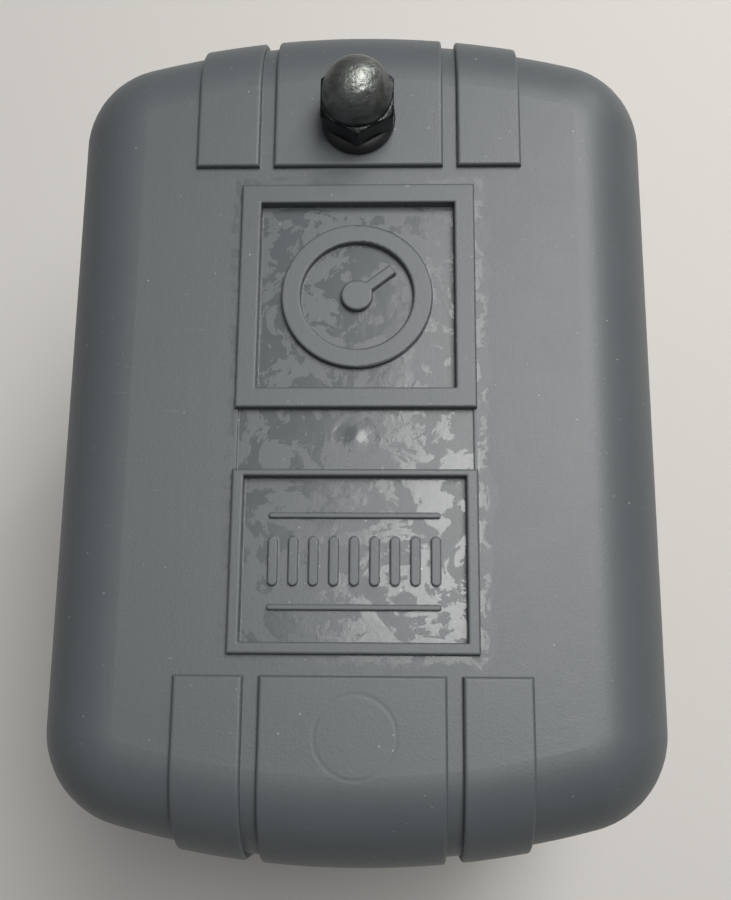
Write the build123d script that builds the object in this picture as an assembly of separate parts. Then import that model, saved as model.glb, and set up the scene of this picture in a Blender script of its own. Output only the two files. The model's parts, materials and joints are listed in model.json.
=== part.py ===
"""Pressure switch for a well or water pump: moulded cover, stamped tray, diaphragm port and snap-action contacts.

Millimetres. +X across the switch, +Y towards the cover nut, +Z up. The origin is on the pipe port's axis,
in the plane of the port's lower face, on which the switch stands.
"""

import os
from math import atan2, cos, degrees, hypot, radians, tan

from build123d import *

# ---------------------------------------------------------------- cover and tray, in plan
COVER_WIDTH = 73.0          # across the rim
COVER_LENGTH = 103.5        # over the bowed ends, at the rim
END_BOW_RADIUS = 108.0
CORNER_RADIUS = 12.0
COVER_WALL = 2.4
COVER_DRAFT = 1.2           # degrees
COVER_EDGE_RADIUS = 9.5
COVER_HEIGHT = 40.0
TRAY_SIDE_REVEAL = 1.0      # how far the tray's side stands in from the cover's rim
TRAY_NECK_GAP = 0.5         # between the tray's neck and the inside of the cover
TRAY_THICKNESS = 1.5
TRAY_NECK_HEIGHT = 4.0
TRAY_BOTTOM_RADIUS = 2.5
TRAY_HEIGHT = 27.0          # from its underside to the shoulder that the cover's rim stands on

# ---------------------------------------------------------------- main levels
FLANGE_BOTTOM = 12.0        # underside of the port flange's plate
FLANGE_PLATE = 7.0
TRAY_BOTTOM = FLANGE_BOTTOM + FLANGE_PLATE
FLOOR = TRAY_BOTTOM + TRAY_THICKNESS
RIM = TRAY_BOTTOM + TRAY_HEIGHT
COVER_TOP = RIM + COVER_HEIGHT
COVER_CEILING = COVER_TOP - COVER_WALL

# ---------------------------------------------------------------- relief on the cover
PAD_RISE = 0.8
PAD_CENTRE_WIDTH = 20.6
PAD_SIDE_WIDTH = 7.7
PAD_GAP = 1.75
PAD_REAR_REACH = 21.85      # from the rear end to the rear pads' inner edge
PAD_FRONT_REACH = 20.75
PAD_EDGE = 0.35
PAD_FOOT_HEIGHT = 6.0       # the pads end this high above the rim on the end walls
FRAME_RISE = 0.8
FRAME_EDGE = 0.25
BADGE_FRAME = 28.0          # the square frame behind the nut
BADGE_BORDER = 2.4
BADGE_CENTRE_Y = 13.4
BADGE_DEPTH = 0.7
PLATE_FRAME_LENGTH = 20.8   # the oblong frame in front of it
PLATE_SIDE_BORDER = 1.35
PLATE_REAR_BORDER = 0.8
PLATE_FRONT_BORDER = 1.3
PLATE_CENTRE_Y = -18.3
PLATE_DEPTH = 0.5
STRIP_WIDTH = 27.3          # the sunk strip between the two frames
STRIP_DEPTH = 0.3
GAUGE_RADIUS = 9.0
GAUGE_RING = 2.3
GAUGE_RISE = 0.9
GAUGE_HUB_RADIUS = 1.9
GAUGE_NEEDLE = 5.4
GAUGE_NEEDLE_WIDTH = 1.3
GAUGE_NEEDLE_ANGLE = 38.0
RIB_COUNT = 9
RIB_PITCH = 2.3
RIB_WIDTH = 1.1
RIB_LENGTH = 5.6
RIB_RISE = 0.4
RIB_EDGE = 0.15
BAR_WIDTH = 0.6
BAR_OFFSET = 5.2            # from the row of ribs to the bar above and below it

# ---------------------------------------------------------------- threads, screws and fits
THREAD_RADIUS = 2.08        # No. 8-32 studs
THREAD_GAP = 0.05
NUT_FLATS = 8.73
NUT_HEIGHT = 3.2
SCREW_RADIUS = 2.3          # flange screws
SCREW_GAP = 0.05
GROUND_END_GAP = 0.02       # between a ground spring end and its seat
SLIDING_GAP = 0.15          # seats and washers that slide along a stud
SLOT_WIDTH = 0.9            # driving slots
SLOT_DEPTH = 1.0

# ---------------------------------------------------------------- cover nut
STUD_INSET = 15.5          # from the cover's rear end
STUD_Y = COVER_LENGTH / 2 - STUD_INSET
STUD_HOLE_GAP = 0.35
WASHER_RADIUS = 4.5
WASHER_THICKNESS = 2.0
CAP_HEX_HEIGHT = 3.1
CAP_DOME_RADIUS = 4.1
CAP_HEIGHT = 8.2
CAP_STUD_ENTRY = 4.6        # how far the stud reaches into the cap nut

# ---------------------------------------------------------------- port flange and diaphragm
PORT_HEX = 22.2
PORT_RADIUS = 5.6
PORT_DEPTH = 10.5
PORT_PASSAGE_RADIUS = 4.0
FLANGE_SIZE = 52.0
FLANGE_CORNER = 9.0
FLANGE_NECK_HEIGHT = 3.0
SCREW_SPACING = 41.0
SCREW_HEAD_FLATS = 8.0
SCREW_HEAD_HEIGHT = 3.4
SCREW_WASHER_RADIUS = 5.0
SCREW_WASHER_THICKNESS = 0.9
SCREW_END = 4.0             # above the tray's floor
DIAPHRAGM_RADIUS = 23.0
DIAPHRAGM_THICKNESS = 1.2
CHAMBER_RADIUS = 16.0
CHAMBER_DEPTH = 3.4
PISTON_RADIUS = 12.4
PISTON_HOLE_GAP = 0.6
PISTON_DISC = 2.6
PISTON_NOSE_RADIUS = 4.0

# ---------------------------------------------------------------- conduit openings
CONDUIT_RADIUS = 11.1
CONDUIT_Y = -12.0
CONDUIT_Z = TRAY_BOTTOM + 14.0

# ---------------------------------------------------------------- pressure lever
SHEET = 1.6                 # the steel of the lever and the mechanism frame
LEVER_PIVOT_Y = -18.0
LEVER_PIVOT_Z = FLOOR + 12.5
LEVER_UNDERSIDE = FLOOR + 6.5
LEVER_TOP = LEVER_UNDERSIDE + SHEET
LEVER_HALF_WIDTH = 12.8
LEVER_TAIL = 9.3            # behind the range stud
LEVER_HOLE_GAP = 1.4        # round the range stud, for the lever's tilt
LEVER_EAR_RADIUS = 5.6
LEVER_EAR_HOLE_GAP = 1.0
LEVER_KNUCKLE = 4.0         # radius of the flange round the pivot
BUTTON_RADIUS = 3.4
BUTTON_THICKNESS = 1.0
PIVOT_PIN_RADIUS = 1.5
PIN_RUNNING_GAP = 0.05
PIN_HEAD_RADIUS = 2.6
PIN_HEAD = 0.9
CLIP_THICKNESS = 0.6
CLIP_RADIUS = 3.2
HOOK_Y = 16.0               # the lever's spring post
HOOK_HEIGHT = 15.9          # of the hole in the post, above the lever's top
HOOK_HOLE_RADIUS = 0.9
POST_WIDTH = 7.0

# ---------------------------------------------------------------- mechanism frame
CHEEK_GAP = 0.4             # between the lever's flange and the frame's cheek
CHEEK_INNER = LEVER_HALF_WIDTH + CHEEK_GAP
CHEEK_OUTER = CHEEK_INNER + SHEET
FRAME_FRONT = -26.0
FRAME_REAR = 3.0
CHEEK_STEP_Y = -8.0         # the cheeks are low in front of this and reach up to the arm's pins behind it
CHEEK_LOW_HEIGHT = 12.5
CHEEK_MARGIN = 5.0          # of metal round each pivot
FOOT_FRONT = -25.5
FOOT_REAR = -6.0
FOOT_MARGIN = 4.5
RIVET_RADIUS = 1.6
RIVET_HEAD_RADIUS = 2.8
RIVET_HEAD = 1.0
RIVET_Y = -10.0

# ---------------------------------------------------------------- terminal block and contacts
SHELF_TOP = FLOOR + 11.5
BLOCK_INSET = 9.55          # from the cover's front end
BLOCK_DEPTH = 16.0
BLOCK_HEIGHT = 8.5
BLOCK_TOP = SHELF_TOP + BLOCK_HEIGHT
BLOCK_FRONT = BLOCK_INSET - COVER_LENGTH / 2
BLOCK_REAR = BLOCK_FRONT + BLOCK_DEPTH
BARRIER_HEIGHT = 8.0
BARRIER_THICKNESS = 1.6
TERMINAL_PITCH = 12.7
TERMINAL_COUNT = 4
TERMINALS = [(i - (TERMINAL_COUNT - 1) / 2) * TERMINAL_PITCH for i in range(TERMINAL_COUNT)]
BRIDGES = [-TERMINAL_PITCH, TERMINAL_PITCH]
TERMINAL_Y = BLOCK_FRONT + 7.0
BLOCK_SCREW_RADIUS = 1.5
BLOCK_SCREW_HEAD_RADIUS = 2.9
BLOCK_SCREW_HEAD = 2.0
STRIP_METAL = 1.0
STRIP_METAL_WIDTH = 7.0
CONTACT_Y = -21.0
TIP_RADIUS = 2.2
TIP_THICKNESS = 1.0
TIP_EDGE = 0.25
BRIDGE_THICKNESS = 1.5
BRIDGE_WIDTH = 6.0
BRIDGE_WIPE = 0.8           # how far the bridges drop in the arm as it lifts
TERMINAL_SCREW_RADIUS = 2.0
TERMINAL_HEAD_RADIUS = 3.9
TERMINAL_HEAD = 2.4
CLAMP_SIZE = 8.4
CLAMP_THICKNESS = 1.2
CLAMP_LIFT = 0.9            # the clamp plates stand open by this much

# ---------------------------------------------------------------- contact arm
ARM_PIVOT_Y = -2.0
ARM_PIVOT_Z = BLOCK_TOP + 5.5
ARM_HUB_RADIUS = 4.0
ARM_SIDE_GAP = 0.8          # between the arm and the frame's cheeks
ARM_RAIL_OUTER = CHEEK_INNER - ARM_SIDE_GAP
ARM_RAIL_WIDTH = 7.4
ARM_RAIL_HEIGHT = 5.0
ARM_PIN_REACH = 5.0         # of the pins into the rails
BEAM_HALF_WIDTH = 24.0
BEAM_DEPTH = 9.0
BEAM_HEIGHT = 4.9
BEAM_BOTTOM = BLOCK_TOP + 6.1
BEAM_TOP = BEAM_BOTTOM + BEAM_HEIGHT
BEAM_ROOF = 1.2             # over the spring wells
CAGE_GAP = 0.3              # round each bridge where it passes through the arm
CAGE_SILL = 1.4
CAGE_SIDE_GAP = 0.45        # between the cage under the arm and the brass strips beside it
BRIDGE_SPRING_RADIUS = 2.3
BRIDGE_SPRING_WIRE = 0.35
BRIDGE_SPRING_TURNS = 3.5
TOGGLE_END_Y = -14.0
TOGGLE_END_Z = ARM_PIVOT_Z + 0.2
TOGGLE_RADIUS = 2.1
TOGGLE_WIRE = 0.6
TOGGLE_TURNS = 11
TOGGLE_LOOP = 2.0           # room taken by the loop at each end
EYE_RADIUS = 1.6
EYE_WIRE = 0.5
EYE_SHANK = 2.0             # length of the eye's shank inside the arm

# ---------------------------------------------------------------- range spring
RANGE_SPRING_RADIUS = 7.8   # to the middle of the wire
RANGE_WIRE = 1.1            # radius of the wire
RANGE_TURNS = 7.5
RANGE_SPRING_LENGTH = 31.0
RANGE_SEAT_RADIUS = 9.6
RANGE_SEAT = 2.2
COLLAR_FLATS = 8.8
RIVETED_FOOT = 0.8          # the studs' riveted ends, below the tray
RIVETED_FOOT_RIM = 1.6

# ---------------------------------------------------------------- differential spring
DIFF_X = 19.5
DIFF_Y = 9.0
DIFF_SPRING_RADIUS = 4.3
DIFF_WIRE = 0.6
DIFF_TURNS = 8.0
DIFF_SPRING_LENGTH = 18.0
DIFF_SEAT_RADIUS = 5.6
DIFF_SEAT = 1.4
DIFF_SHOULDER_RADIUS = 3.1
DIFF_PICKUP_GAP = 0.3       # between the lever's ear and the lower seat, at rest
DIFF_STUD_END = 5.0         # above the nut
SEAT_GUIDE = 2.4            # length of the guides under the upper seats
SEAT_GUIDE_GAP = 0.5        # between a guide and its spring

# ---------------------------------------------------------------- ground screws
GROUND_X = 27.0
GROUND_Y = -33.0
GROUND_HEAD_FLATS = 8.4
GROUND_HEAD = 2.2
GROUND_WASHER_RADIUS = 5.0
GROUND_WASHER = 1.6
GROUND_END = 2.5            # below the tray


def box(x0, x1, y0, y1, z0, z1):
    """A box between its lowest and highest corners."""
    return Pos((x0 + x1) / 2, (y0 + y1) / 2, (z0 + z1) / 2) * Box(x1 - x0, y1 - y0, z1 - z0)


def rod(radius, z0, z1, x=0.0, y=0.0):
    """An upright cylinder."""
    return Pos(x, y, (z0 + z1) / 2) * Cylinder(radius, z1 - z0)


def cross_rod(radius, x0, x1, y, z):
    """A cylinder along X."""
    return Pos((x0 + x1) / 2, y, z) * Rot(0, 90, 0) * Cylinder(radius, x1 - x0)


def hexagon(flats, z0, z1, x=0.0, y=0.0):
    """An upright hexagonal prism, with corners towards +Y and -Y."""
    face = RegularPolygon(flats / 2, 6, major_radius=False, rotation=30)
    return Pos(x, y, z0) * extrude(face, z1 - z0)


def chamfered_hexagon(flats, z0, z1, x=0.0, y=0.0, top=True, bottom=True):
    """A hexagonal prism whose corners are turned down at the top and the bottom."""
    prism = hexagon(flats, z0, z1, x, y)
    corner = flats / 2 / cos(radians(30))
    reach = corner - flats / 2
    rise = reach * tan(radians(30)) + 0.02
    for level, wanted, sign in ((z1, top, 1), (z0, bottom, -1)):
        if wanted:
            ring = Cylinder(corner + 1, rise) - Cone(corner + 0.02, flats / 2, rise)
            if sign < 0:
                ring = Rot(180, 0, 0) * ring
            prism -= Pos(x, y, level - sign * rise / 2) * ring
    return prism


def slotted(head, radius, x, y, top, turn=0.0):
    """A screw head with a straight driving slot across it."""
    cut = Pos(x, y, top - SLOT_DEPTH / 2) * Rot(0, 0, turn) * Box(2.2 * radius, SLOT_WIDTH, SLOT_DEPTH)
    return head - cut


def ring(outer, inner, z0, z1, x=0.0, y=0.0):
    """A flat ring."""
    return rod(outer, z0, z1, x, y) - rod(inner, z0 - 1, z1 + 1, x, y)


def both_sides(solid):
    """The solid and its mirror image across the middle of the switch."""
    return Compound([solid, mirror(solid, Plane.YZ)])


def plan(inset):
    """The plan of the switch, in from the cover's rim by inset: straight sides and bowed ends."""
    apex = COVER_LENGTH / 2 - inset
    bow = END_BOW_RADIUS - inset
    face = Rectangle(COVER_WIDTH - 2 * inset, 3 * apex)
    face &= Pos(0, apex - bow) * Circle(bow)
    face &= Pos(0, bow - apex) * Circle(bow)
    return fillet(face.vertices(), CORNER_RADIUS - inset)


def block_of_plan(inset, z0, z1):
    """The plan raised between two heights."""
    return Pos(0, 0, z0) * extrude(plan(inset), z1 - z0)


def cover_form(inset):
    """The drafted, round-edged form of the cover; a negative inset makes the form that the pads are cut from."""
    form = Pos(0, 0, RIM) * extrude(plan(inset), COVER_HEIGHT - inset, taper=COVER_DRAFT)
    return fillet(form.edges().group_by(Axis.Z)[-1], COVER_EDGE_RADIUS - inset)


def recess(width, front, rear, depth):
    """The cut that sinks a panel into the cover's top."""
    return box(-width / 2, width / 2, front, rear, COVER_TOP - depth, COVER_TOP + 2)


def raised_frame(width, front, rear, opening):
    """A raised border round an opening on the cover's top, with eased edges."""
    block = box(-width / 2, width / 2, front, rear, COVER_TOP - 1, COVER_TOP + FRAME_RISE)
    border = block - opening
    return fillet(border.edges().group_by(Axis.Z)[-1], FRAME_EDGE)


def pad(form, probe, x0, x1, y0, y1):
    """One pad, cut from the proud form, with its outer edges eased; the probe lies just under the form's skin."""
    foot = RIM + PAD_FOOT_HEIGHT
    solid = form & box(x0, x1, y0, y1, foot, COVER_TOP + PAD_RISE)
    edges = []
    for edge in solid.edges():
        middle = edge @ 0.5
        on_side = min(abs(middle.X - x0), abs(middle.X - x1), abs(middle.Y - y0), abs(middle.Y - y1)) < 0.001
        on_foot = middle.Z < foot + 0.001
        if (on_side or on_foot) and not probe.is_inside(middle):
            edges.append(edge)
    return fillet(edges, PAD_EDGE)


def badge_frame():
    """The front and rear edges of the square frame."""
    return BADGE_CENTRE_Y - BADGE_FRAME / 2, BADGE_CENTRE_Y + BADGE_FRAME / 2


def plate_frame():
    """The front and rear edges of the oblong frame."""
    return PLATE_CENTRE_Y - PLATE_FRAME_LENGTH / 2, PLATE_CENTRE_Y + PLATE_FRAME_LENGTH / 2


def gauge_badge():
    """A plain dial with a pointer, raised in the square recess."""
    dial = Circle(GAUGE_RADIUS) - Circle(GAUGE_RADIUS - GAUGE_RING)
    needle = Pos(GAUGE_NEEDLE / 2, 0) * Rectangle(GAUGE_NEEDLE, GAUGE_NEEDLE_WIDTH)
    dial += Rot(0, 0, GAUGE_NEEDLE_ANGLE) * needle
    dial += Circle(GAUGE_HUB_RADIUS)
    raised = extrude(dial, GAUGE_RISE)
    raised = fillet(raised.edges().group_by(Axis.Z)[-1], FRAME_EDGE)
    return Pos(0, BADGE_CENTRE_Y, COVER_TOP - BADGE_DEPTH) * raised


def rib_row():
    """A row of plain upright ribs between two bars, raised in the oblong recess."""
    middle = (RIB_COUNT - 1) / 2
    rib = SlotOverall(RIB_LENGTH, RIB_WIDTH, rotation=90)
    bar = SlotOverall((RIB_COUNT - 1) * RIB_PITCH + RIB_WIDTH, BAR_WIDTH)
    shapes = [Pos((i - middle) * RIB_PITCH, PLATE_CENTRE_Y) * rib for i in range(RIB_COUNT)]
    shapes += [Pos(0, PLATE_CENTRE_Y + side * BAR_OFFSET) * bar for side in (-1, 1)]
    ribs = [extrude(shape, RIB_RISE) for shape in shapes]
    return [Pos(0, 0, COVER_TOP - PLATE_DEPTH) * fillet(each.edges().group_by(Axis.Z)[-1], RIB_EDGE)
            for each in ribs]


def pad_reaches():
    """The rear and the front pads' extent in Y."""
    end = COVER_LENGTH / 2
    return (end - PAD_REAR_REACH, COVER_LENGTH), (-COVER_LENGTH, PAD_FRONT_REACH - end)


def pad_spans():
    """The three pads' edges in X: side, centre, side."""
    half = PAD_CENTRE_WIDTH / 2
    side = half + PAD_GAP
    return [(-side - PAD_SIDE_WIDTH, -side), (-half, half), (side, side + PAD_SIDE_WIDTH)]


def cover():
    """The moulded cover: one shell with pads over both ends, two frames, a sunk strip and a stud boss."""
    body = cover_form(0)
    pad_form = cover_form(-PAD_RISE)
    probe = cover_form(0.1 - PAD_RISE).solid()
    for x0, x1 in pad_spans():
        for y0, y1 in pad_reaches():
            body += pad(pad_form, probe, x0, x1, y0, y1)
    badge_front, badge_rear = badge_frame()
    plate_front, plate_rear = plate_frame()
    badge = recess(BADGE_FRAME - 2 * BADGE_BORDER, badge_front + BADGE_BORDER, badge_rear - BADGE_BORDER,
                   BADGE_DEPTH)
    plate = recess(BADGE_FRAME - 2 * PLATE_SIDE_BORDER, plate_front + PLATE_FRONT_BORDER,
                   plate_rear - PLATE_REAR_BORDER, PLATE_DEPTH)
    body -= recess(STRIP_WIDTH, plate_rear - 1, badge_front + 1, STRIP_DEPTH)
    body += raised_frame(BADGE_FRAME, badge_front, badge_rear, badge)
    body += raised_frame(BADGE_FRAME, plate_front, plate_rear, plate)
    body = body - badge - plate
    body -= cover_form(COVER_WALL)
    body += gauge_badge()
    for shape in rib_row():
        body += shape
    body += ring(WASHER_RADIUS, THREAD_RADIUS, COVER_CEILING - 3, COVER_CEILING + 1, 0, STUD_Y)
    return body - rod(THREAD_RADIUS + STUD_HOLE_GAP, COVER_CEILING - 5, COVER_TOP + 5, 0, STUD_Y)


def screw_places():
    """The four flange screws, in plan."""
    half = SCREW_SPACING / 2
    return [(x, y) for x in (-half, half) for y in (-half, half)]


def tray():
    """The stamped steel tray, with the neck that the cover fits over and the two conduit openings."""
    side = TRAY_SIDE_REVEAL
    neck = COVER_WALL + TRAY_NECK_GAP
    lower = block_of_plan(side, TRAY_BOTTOM, RIM)
    lower = fillet(lower.edges().group_by(Axis.Z)[0], TRAY_BOTTOM_RADIUS)
    outer = lower + block_of_plan(neck, RIM - TRAY_THICKNESS, RIM + TRAY_NECK_HEIGHT)
    hollow = block_of_plan(side + TRAY_THICKNESS, FLOOR, RIM - TRAY_THICKNESS)
    hollow = fillet(hollow.edges().group_by(Axis.Z)[0], TRAY_BOTTOM_RADIUS - TRAY_THICKNESS)
    hollow += block_of_plan(neck + TRAY_THICKNESS, RIM - 2 * TRAY_THICKNESS, RIM + TRAY_NECK_HEIGHT + 1)
    body = outer - hollow
    body -= cross_rod(CONDUIT_RADIUS, -COVER_WIDTH, COVER_WIDTH, CONDUIT_Y, CONDUIT_Z)
    body -= rod(PISTON_RADIUS + PISTON_HOLE_GAP, TRAY_BOTTOM - 1, FLOOR + 1)
    for x, y in screw_places():
        body -= rod(SCREW_RADIUS + SCREW_GAP, TRAY_BOTTOM - 1, FLOOR + 1, x, y)
    for x, y in ((0, STUD_Y), (DIFF_X, DIFF_Y)):
        body -= rod(THREAD_RADIUS + THREAD_GAP, TRAY_BOTTOM - 1, FLOOR + 1, x, y)
    for side_x in (-1, 1):
        body -= rod(RIVET_RADIUS + THREAD_GAP, TRAY_BOTTOM - 1, FLOOR + 1, side_x * SCREW_SPACING / 2, RIVET_Y)
        body -= rod(THREAD_RADIUS + THREAD_GAP, TRAY_BOTTOM - 1, FLOOR + 1, side_x * GROUND_X, GROUND_Y)
    return body


def port_flange():
    """The die-cast flange: hexagonal port, conical neck, square plate, diaphragm recess and chamber."""
    plate = RectangleRounded(FLANGE_SIZE, FLANGE_SIZE, FLANGE_CORNER)
    body = Pos(0, 0, FLANGE_BOTTOM) * extrude(plate, FLANGE_PLATE)
    body = fillet(body.edges().group_by(Axis.Z)[0], 1.2)
    hex_top = FLANGE_BOTTOM - FLANGE_NECK_HEIGHT
    body += chamfered_hexagon(PORT_HEX, 0, hex_top + 0.5, top=False)
    cone = Cone(PORT_HEX / 2 - 0.3, PORT_HEX / 2 + 5, FLANGE_NECK_HEIGHT + 0.5)
    body += Pos(0, 0, hex_top + (FLANGE_NECK_HEIGHT + 0.5) / 2) * cone
    body -= rod(PORT_RADIUS, -1, PORT_DEPTH)
    body -= rod(PORT_PASSAGE_RADIUS, PORT_DEPTH - 1, TRAY_BOTTOM)
    recess_floor = TRAY_BOTTOM - DIAPHRAGM_THICKNESS
    body -= rod(DIAPHRAGM_RADIUS + 0.1, recess_floor, TRAY_BOTTOM + 1)
    body -= rod(CHAMBER_RADIUS, recess_floor - CHAMBER_DEPTH, TRAY_BOTTOM + 1)
    for x, y in screw_places():
        body -= rod(SCREW_RADIUS + SCREW_GAP, FLANGE_BOTTOM - 1, TRAY_BOTTOM + 1, x, y)
    return body


def flange_screws():
    """Four hex washer-head screws that clamp the flange and the diaphragm to the tray."""
    screws = []
    for x, y in screw_places():
        washer_low = FLANGE_BOTTOM - SCREW_WASHER_THICKNESS
        screw = rod(SCREW_RADIUS, FLANGE_BOTTOM - 0.5, FLOOR + SCREW_END, x, y)
        screw += rod(SCREW_WASHER_RADIUS, washer_low, FLANGE_BOTTOM, x, y)
        screw += chamfered_hexagon(SCREW_HEAD_FLATS, washer_low - SCREW_HEAD_HEIGHT, washer_low + 0.2, x, y,
                                   top=False)
        screws.append(screw)
    return Compound(screws)


def diaphragm():
    """The moulded rubber diaphragm, clamped at its edge."""
    low = TRAY_BOTTOM - DIAPHRAGM_THICKNESS
    body = rod(DIAPHRAGM_RADIUS, low, TRAY_BOTTOM)
    groove = Pos(0, 0, low) * Torus(PISTON_RADIUS + 2, 0.5)
    return body - groove


def piston():
    """The plunger between the diaphragm and the lever's button."""
    low = TRAY_BOTTOM
    disc = rod(PISTON_RADIUS, low, low + PISTON_DISC)
    disc = fillet(disc.edges().group_by(Axis.Z)[-1], 0.6)
    nose_top = LEVER_UNDERSIDE - BUTTON_THICKNESS
    nose = rod(PISTON_NOSE_RADIUS, low + 1, nose_top)
    nose = fillet(nose.edges().group_by(Axis.Z)[-1], 0.8)
    return disc + nose


def lever_side():
    """One flange of the lever's channel, seen along X: a rounded knuckle at the pivot and a low run to the rear."""
    lip = LEVER_TOP + 3
    with BuildSketch(Plane.YZ) as side:
        with BuildLine():
            Polyline((LEVER_PIVOT_Y - LEVER_KNUCKLE, LEVER_PIVOT_Z), (LEVER_PIVOT_Y - 2, LEVER_UNDERSIDE),
                     (HOOK_Y + 9, LEVER_UNDERSIDE), (HOOK_Y + 8, lip), (LEVER_PIVOT_Y + 12, lip),
                     (LEVER_PIVOT_Y + LEVER_KNUCKLE, LEVER_PIVOT_Z), close=True)
        make_face()
        with Locations((LEVER_PIVOT_Y, LEVER_PIVOT_Z)):
            Circle(LEVER_KNUCKLE)
    return extrude(side.sketch, SHEET)


def lever():
    """The pressure lever: a channel with the pivot at its front and the range spring's seat at its rear."""
    inner = LEVER_HALF_WIDTH - SHEET
    rear = STUD_Y + LEVER_TAIL
    body = box(-LEVER_HALF_WIDTH, LEVER_HALF_WIDTH, LEVER_PIVOT_Y + 6, rear, LEVER_UNDERSIDE, LEVER_TOP)
    round_end = rod(LEVER_HALF_WIDTH, LEVER_UNDERSIDE - 1, LEVER_TOP + 1, 0, rear - LEVER_HALF_WIDTH)
    body &= round_end + box(-LEVER_HALF_WIDTH, LEVER_HALF_WIDTH, LEVER_PIVOT_Y, rear - LEVER_HALF_WIDTH,
                            LEVER_UNDERSIDE - 1, LEVER_TOP + 1)
    body += Pos(-LEVER_HALF_WIDTH, 0, 0) * lever_side()
    body += Pos(inner, 0, 0) * lever_side()
    hook_z = LEVER_TOP + HOOK_HEIGHT
    body += box(-POST_WIDTH / 2, POST_WIDTH / 2, HOOK_Y, HOOK_Y + SHEET, LEVER_TOP - 1, hook_z + 2.6)
    body -= box(inner - 1, LEVER_HALF_WIDTH + 1, DIFF_Y - LEVER_EAR_RADIUS - 0.5, DIFF_Y + LEVER_EAR_RADIUS + 0.5,
                LEVER_TOP, LEVER_TOP + 10)
    body += box(0, DIFF_X, DIFF_Y - LEVER_EAR_RADIUS, DIFF_Y + LEVER_EAR_RADIUS, LEVER_UNDERSIDE, LEVER_TOP)
    body += rod(LEVER_EAR_RADIUS, LEVER_UNDERSIDE, LEVER_TOP, DIFF_X, DIFF_Y)
    body -= rod(DIFF_SHOULDER_RADIUS + LEVER_EAR_HOLE_GAP, LEVER_UNDERSIDE - 1, LEVER_TOP + 1, DIFF_X, DIFF_Y)
    body -= rod(THREAD_RADIUS + LEVER_HOLE_GAP, LEVER_UNDERSIDE - 1, LEVER_TOP + 1, 0, STUD_Y)
    body -= cross_rod(PIVOT_PIN_RADIUS + PIN_RUNNING_GAP, -20, 20, LEVER_PIVOT_Y, LEVER_PIVOT_Z)
    return body - Pos(0, HOOK_Y, hook_z) * Rot(90, 0, 0) * Cylinder(HOOK_HOLE_RADIUS, 4 * SHEET)


def lever_button():
    """The hardened button that the piston pushes on."""
    low = LEVER_UNDERSIDE - BUTTON_THICKNESS
    return fillet(rod(BUTTON_RADIUS, low, LEVER_UNDERSIDE).edges().group_by(Axis.Z)[0], 0.35)


def mechanism_frame():
    """The bent steel frame: two cheeks with pivot holes, feet under the flange screws, and the block's shelf."""
    low = FLOOR + CHEEK_LOW_HEIGHT + CHEEK_MARGIN
    ear_top = ARM_PIVOT_Z + CHEEK_MARGIN
    with BuildSketch(Plane.YZ) as side:
        with BuildLine():
            Polyline((FRAME_FRONT, FLOOR), (FRAME_REAR, FLOOR), (FRAME_REAR, ear_top),
                     (CHEEK_STEP_Y + 1.5, ear_top), (CHEEK_STEP_Y, low), (FRAME_FRONT + 2, low),
                     (FRAME_FRONT, SHELF_TOP), close=True)
        make_face()
        ears = side.vertices().group_by(Axis.Z)[-1]
        fillet(ears, 3.0)
    cheek = Pos(CHEEK_INNER, 0, 0) * extrude(side.sketch, SHEET)
    foot_reach = SCREW_SPACING / 2 + FOOT_MARGIN
    foot = box(CHEEK_INNER, foot_reach, FOOT_FRONT, FOOT_REAR, FLOOR, FLOOR + SHEET)
    foot = fillet(foot.edges().filter_by(Axis.Z).group_by(Axis.X)[-1], 3.0)
    half = cheek + foot
    half -= rod(SCREW_RADIUS + SCREW_GAP, FLOOR - 1, FLOOR + 3, SCREW_SPACING / 2, -SCREW_SPACING / 2)
    half -= rod(RIVET_RADIUS + THREAD_GAP, FLOOR - 1, FLOOR + 3, SCREW_SPACING / 2, RIVET_Y)
    for y, z in ((LEVER_PIVOT_Y, LEVER_PIVOT_Z), (ARM_PIVOT_Y, ARM_PIVOT_Z)):
        half -= cross_rod(PIVOT_PIN_RADIUS + PIN_RUNNING_GAP, 0, 30, y, z)
    body = half + mirror(half, Plane.YZ)
    body += box(-CHEEK_OUTER, CHEEK_OUTER, FRAME_FRONT - SHEET, FRAME_FRONT, FLOOR, SHELF_TOP)
    shelf = box(-CHEEK_OUTER, CHEEK_OUTER, BLOCK_FRONT + 2, FRAME_FRONT, SHELF_TOP - SHEET, SHELF_TOP)
    body += fillet(shelf.edges().filter_by(Axis.Z).group_by(Axis.Y)[0], 3.0)
    for x in BRIDGES:
        body -= rod(BLOCK_SCREW_RADIUS + SCREW_GAP, SHELF_TOP - 3, SHELF_TOP + 1, x, TERMINAL_Y)
    return body


def frame_rivets():
    """Two rivets that hold the rear of the frame's feet to the tray."""
    top = FLOOR + SHEET
    shank = rod(RIVET_RADIUS, TRAY_BOTTOM, top + 0.3, SCREW_SPACING / 2, RIVET_Y)
    head = rod(RIVET_HEAD_RADIUS, top, top + RIVET_HEAD, SCREW_SPACING / 2, RIVET_Y)
    head = fillet(head.edges().group_by(Axis.Z)[-1], 0.7)
    return both_sides(shank + head)


def pivot_pin(y, z, x0, x1):
    """A headed pin along X, with a groove for its clip at x1."""
    pin = cross_rod(PIVOT_PIN_RADIUS, x0, x1, y, z)
    return pin + cross_rod(PIN_HEAD_RADIUS, x0 - PIN_HEAD, x0, y, z)


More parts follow.
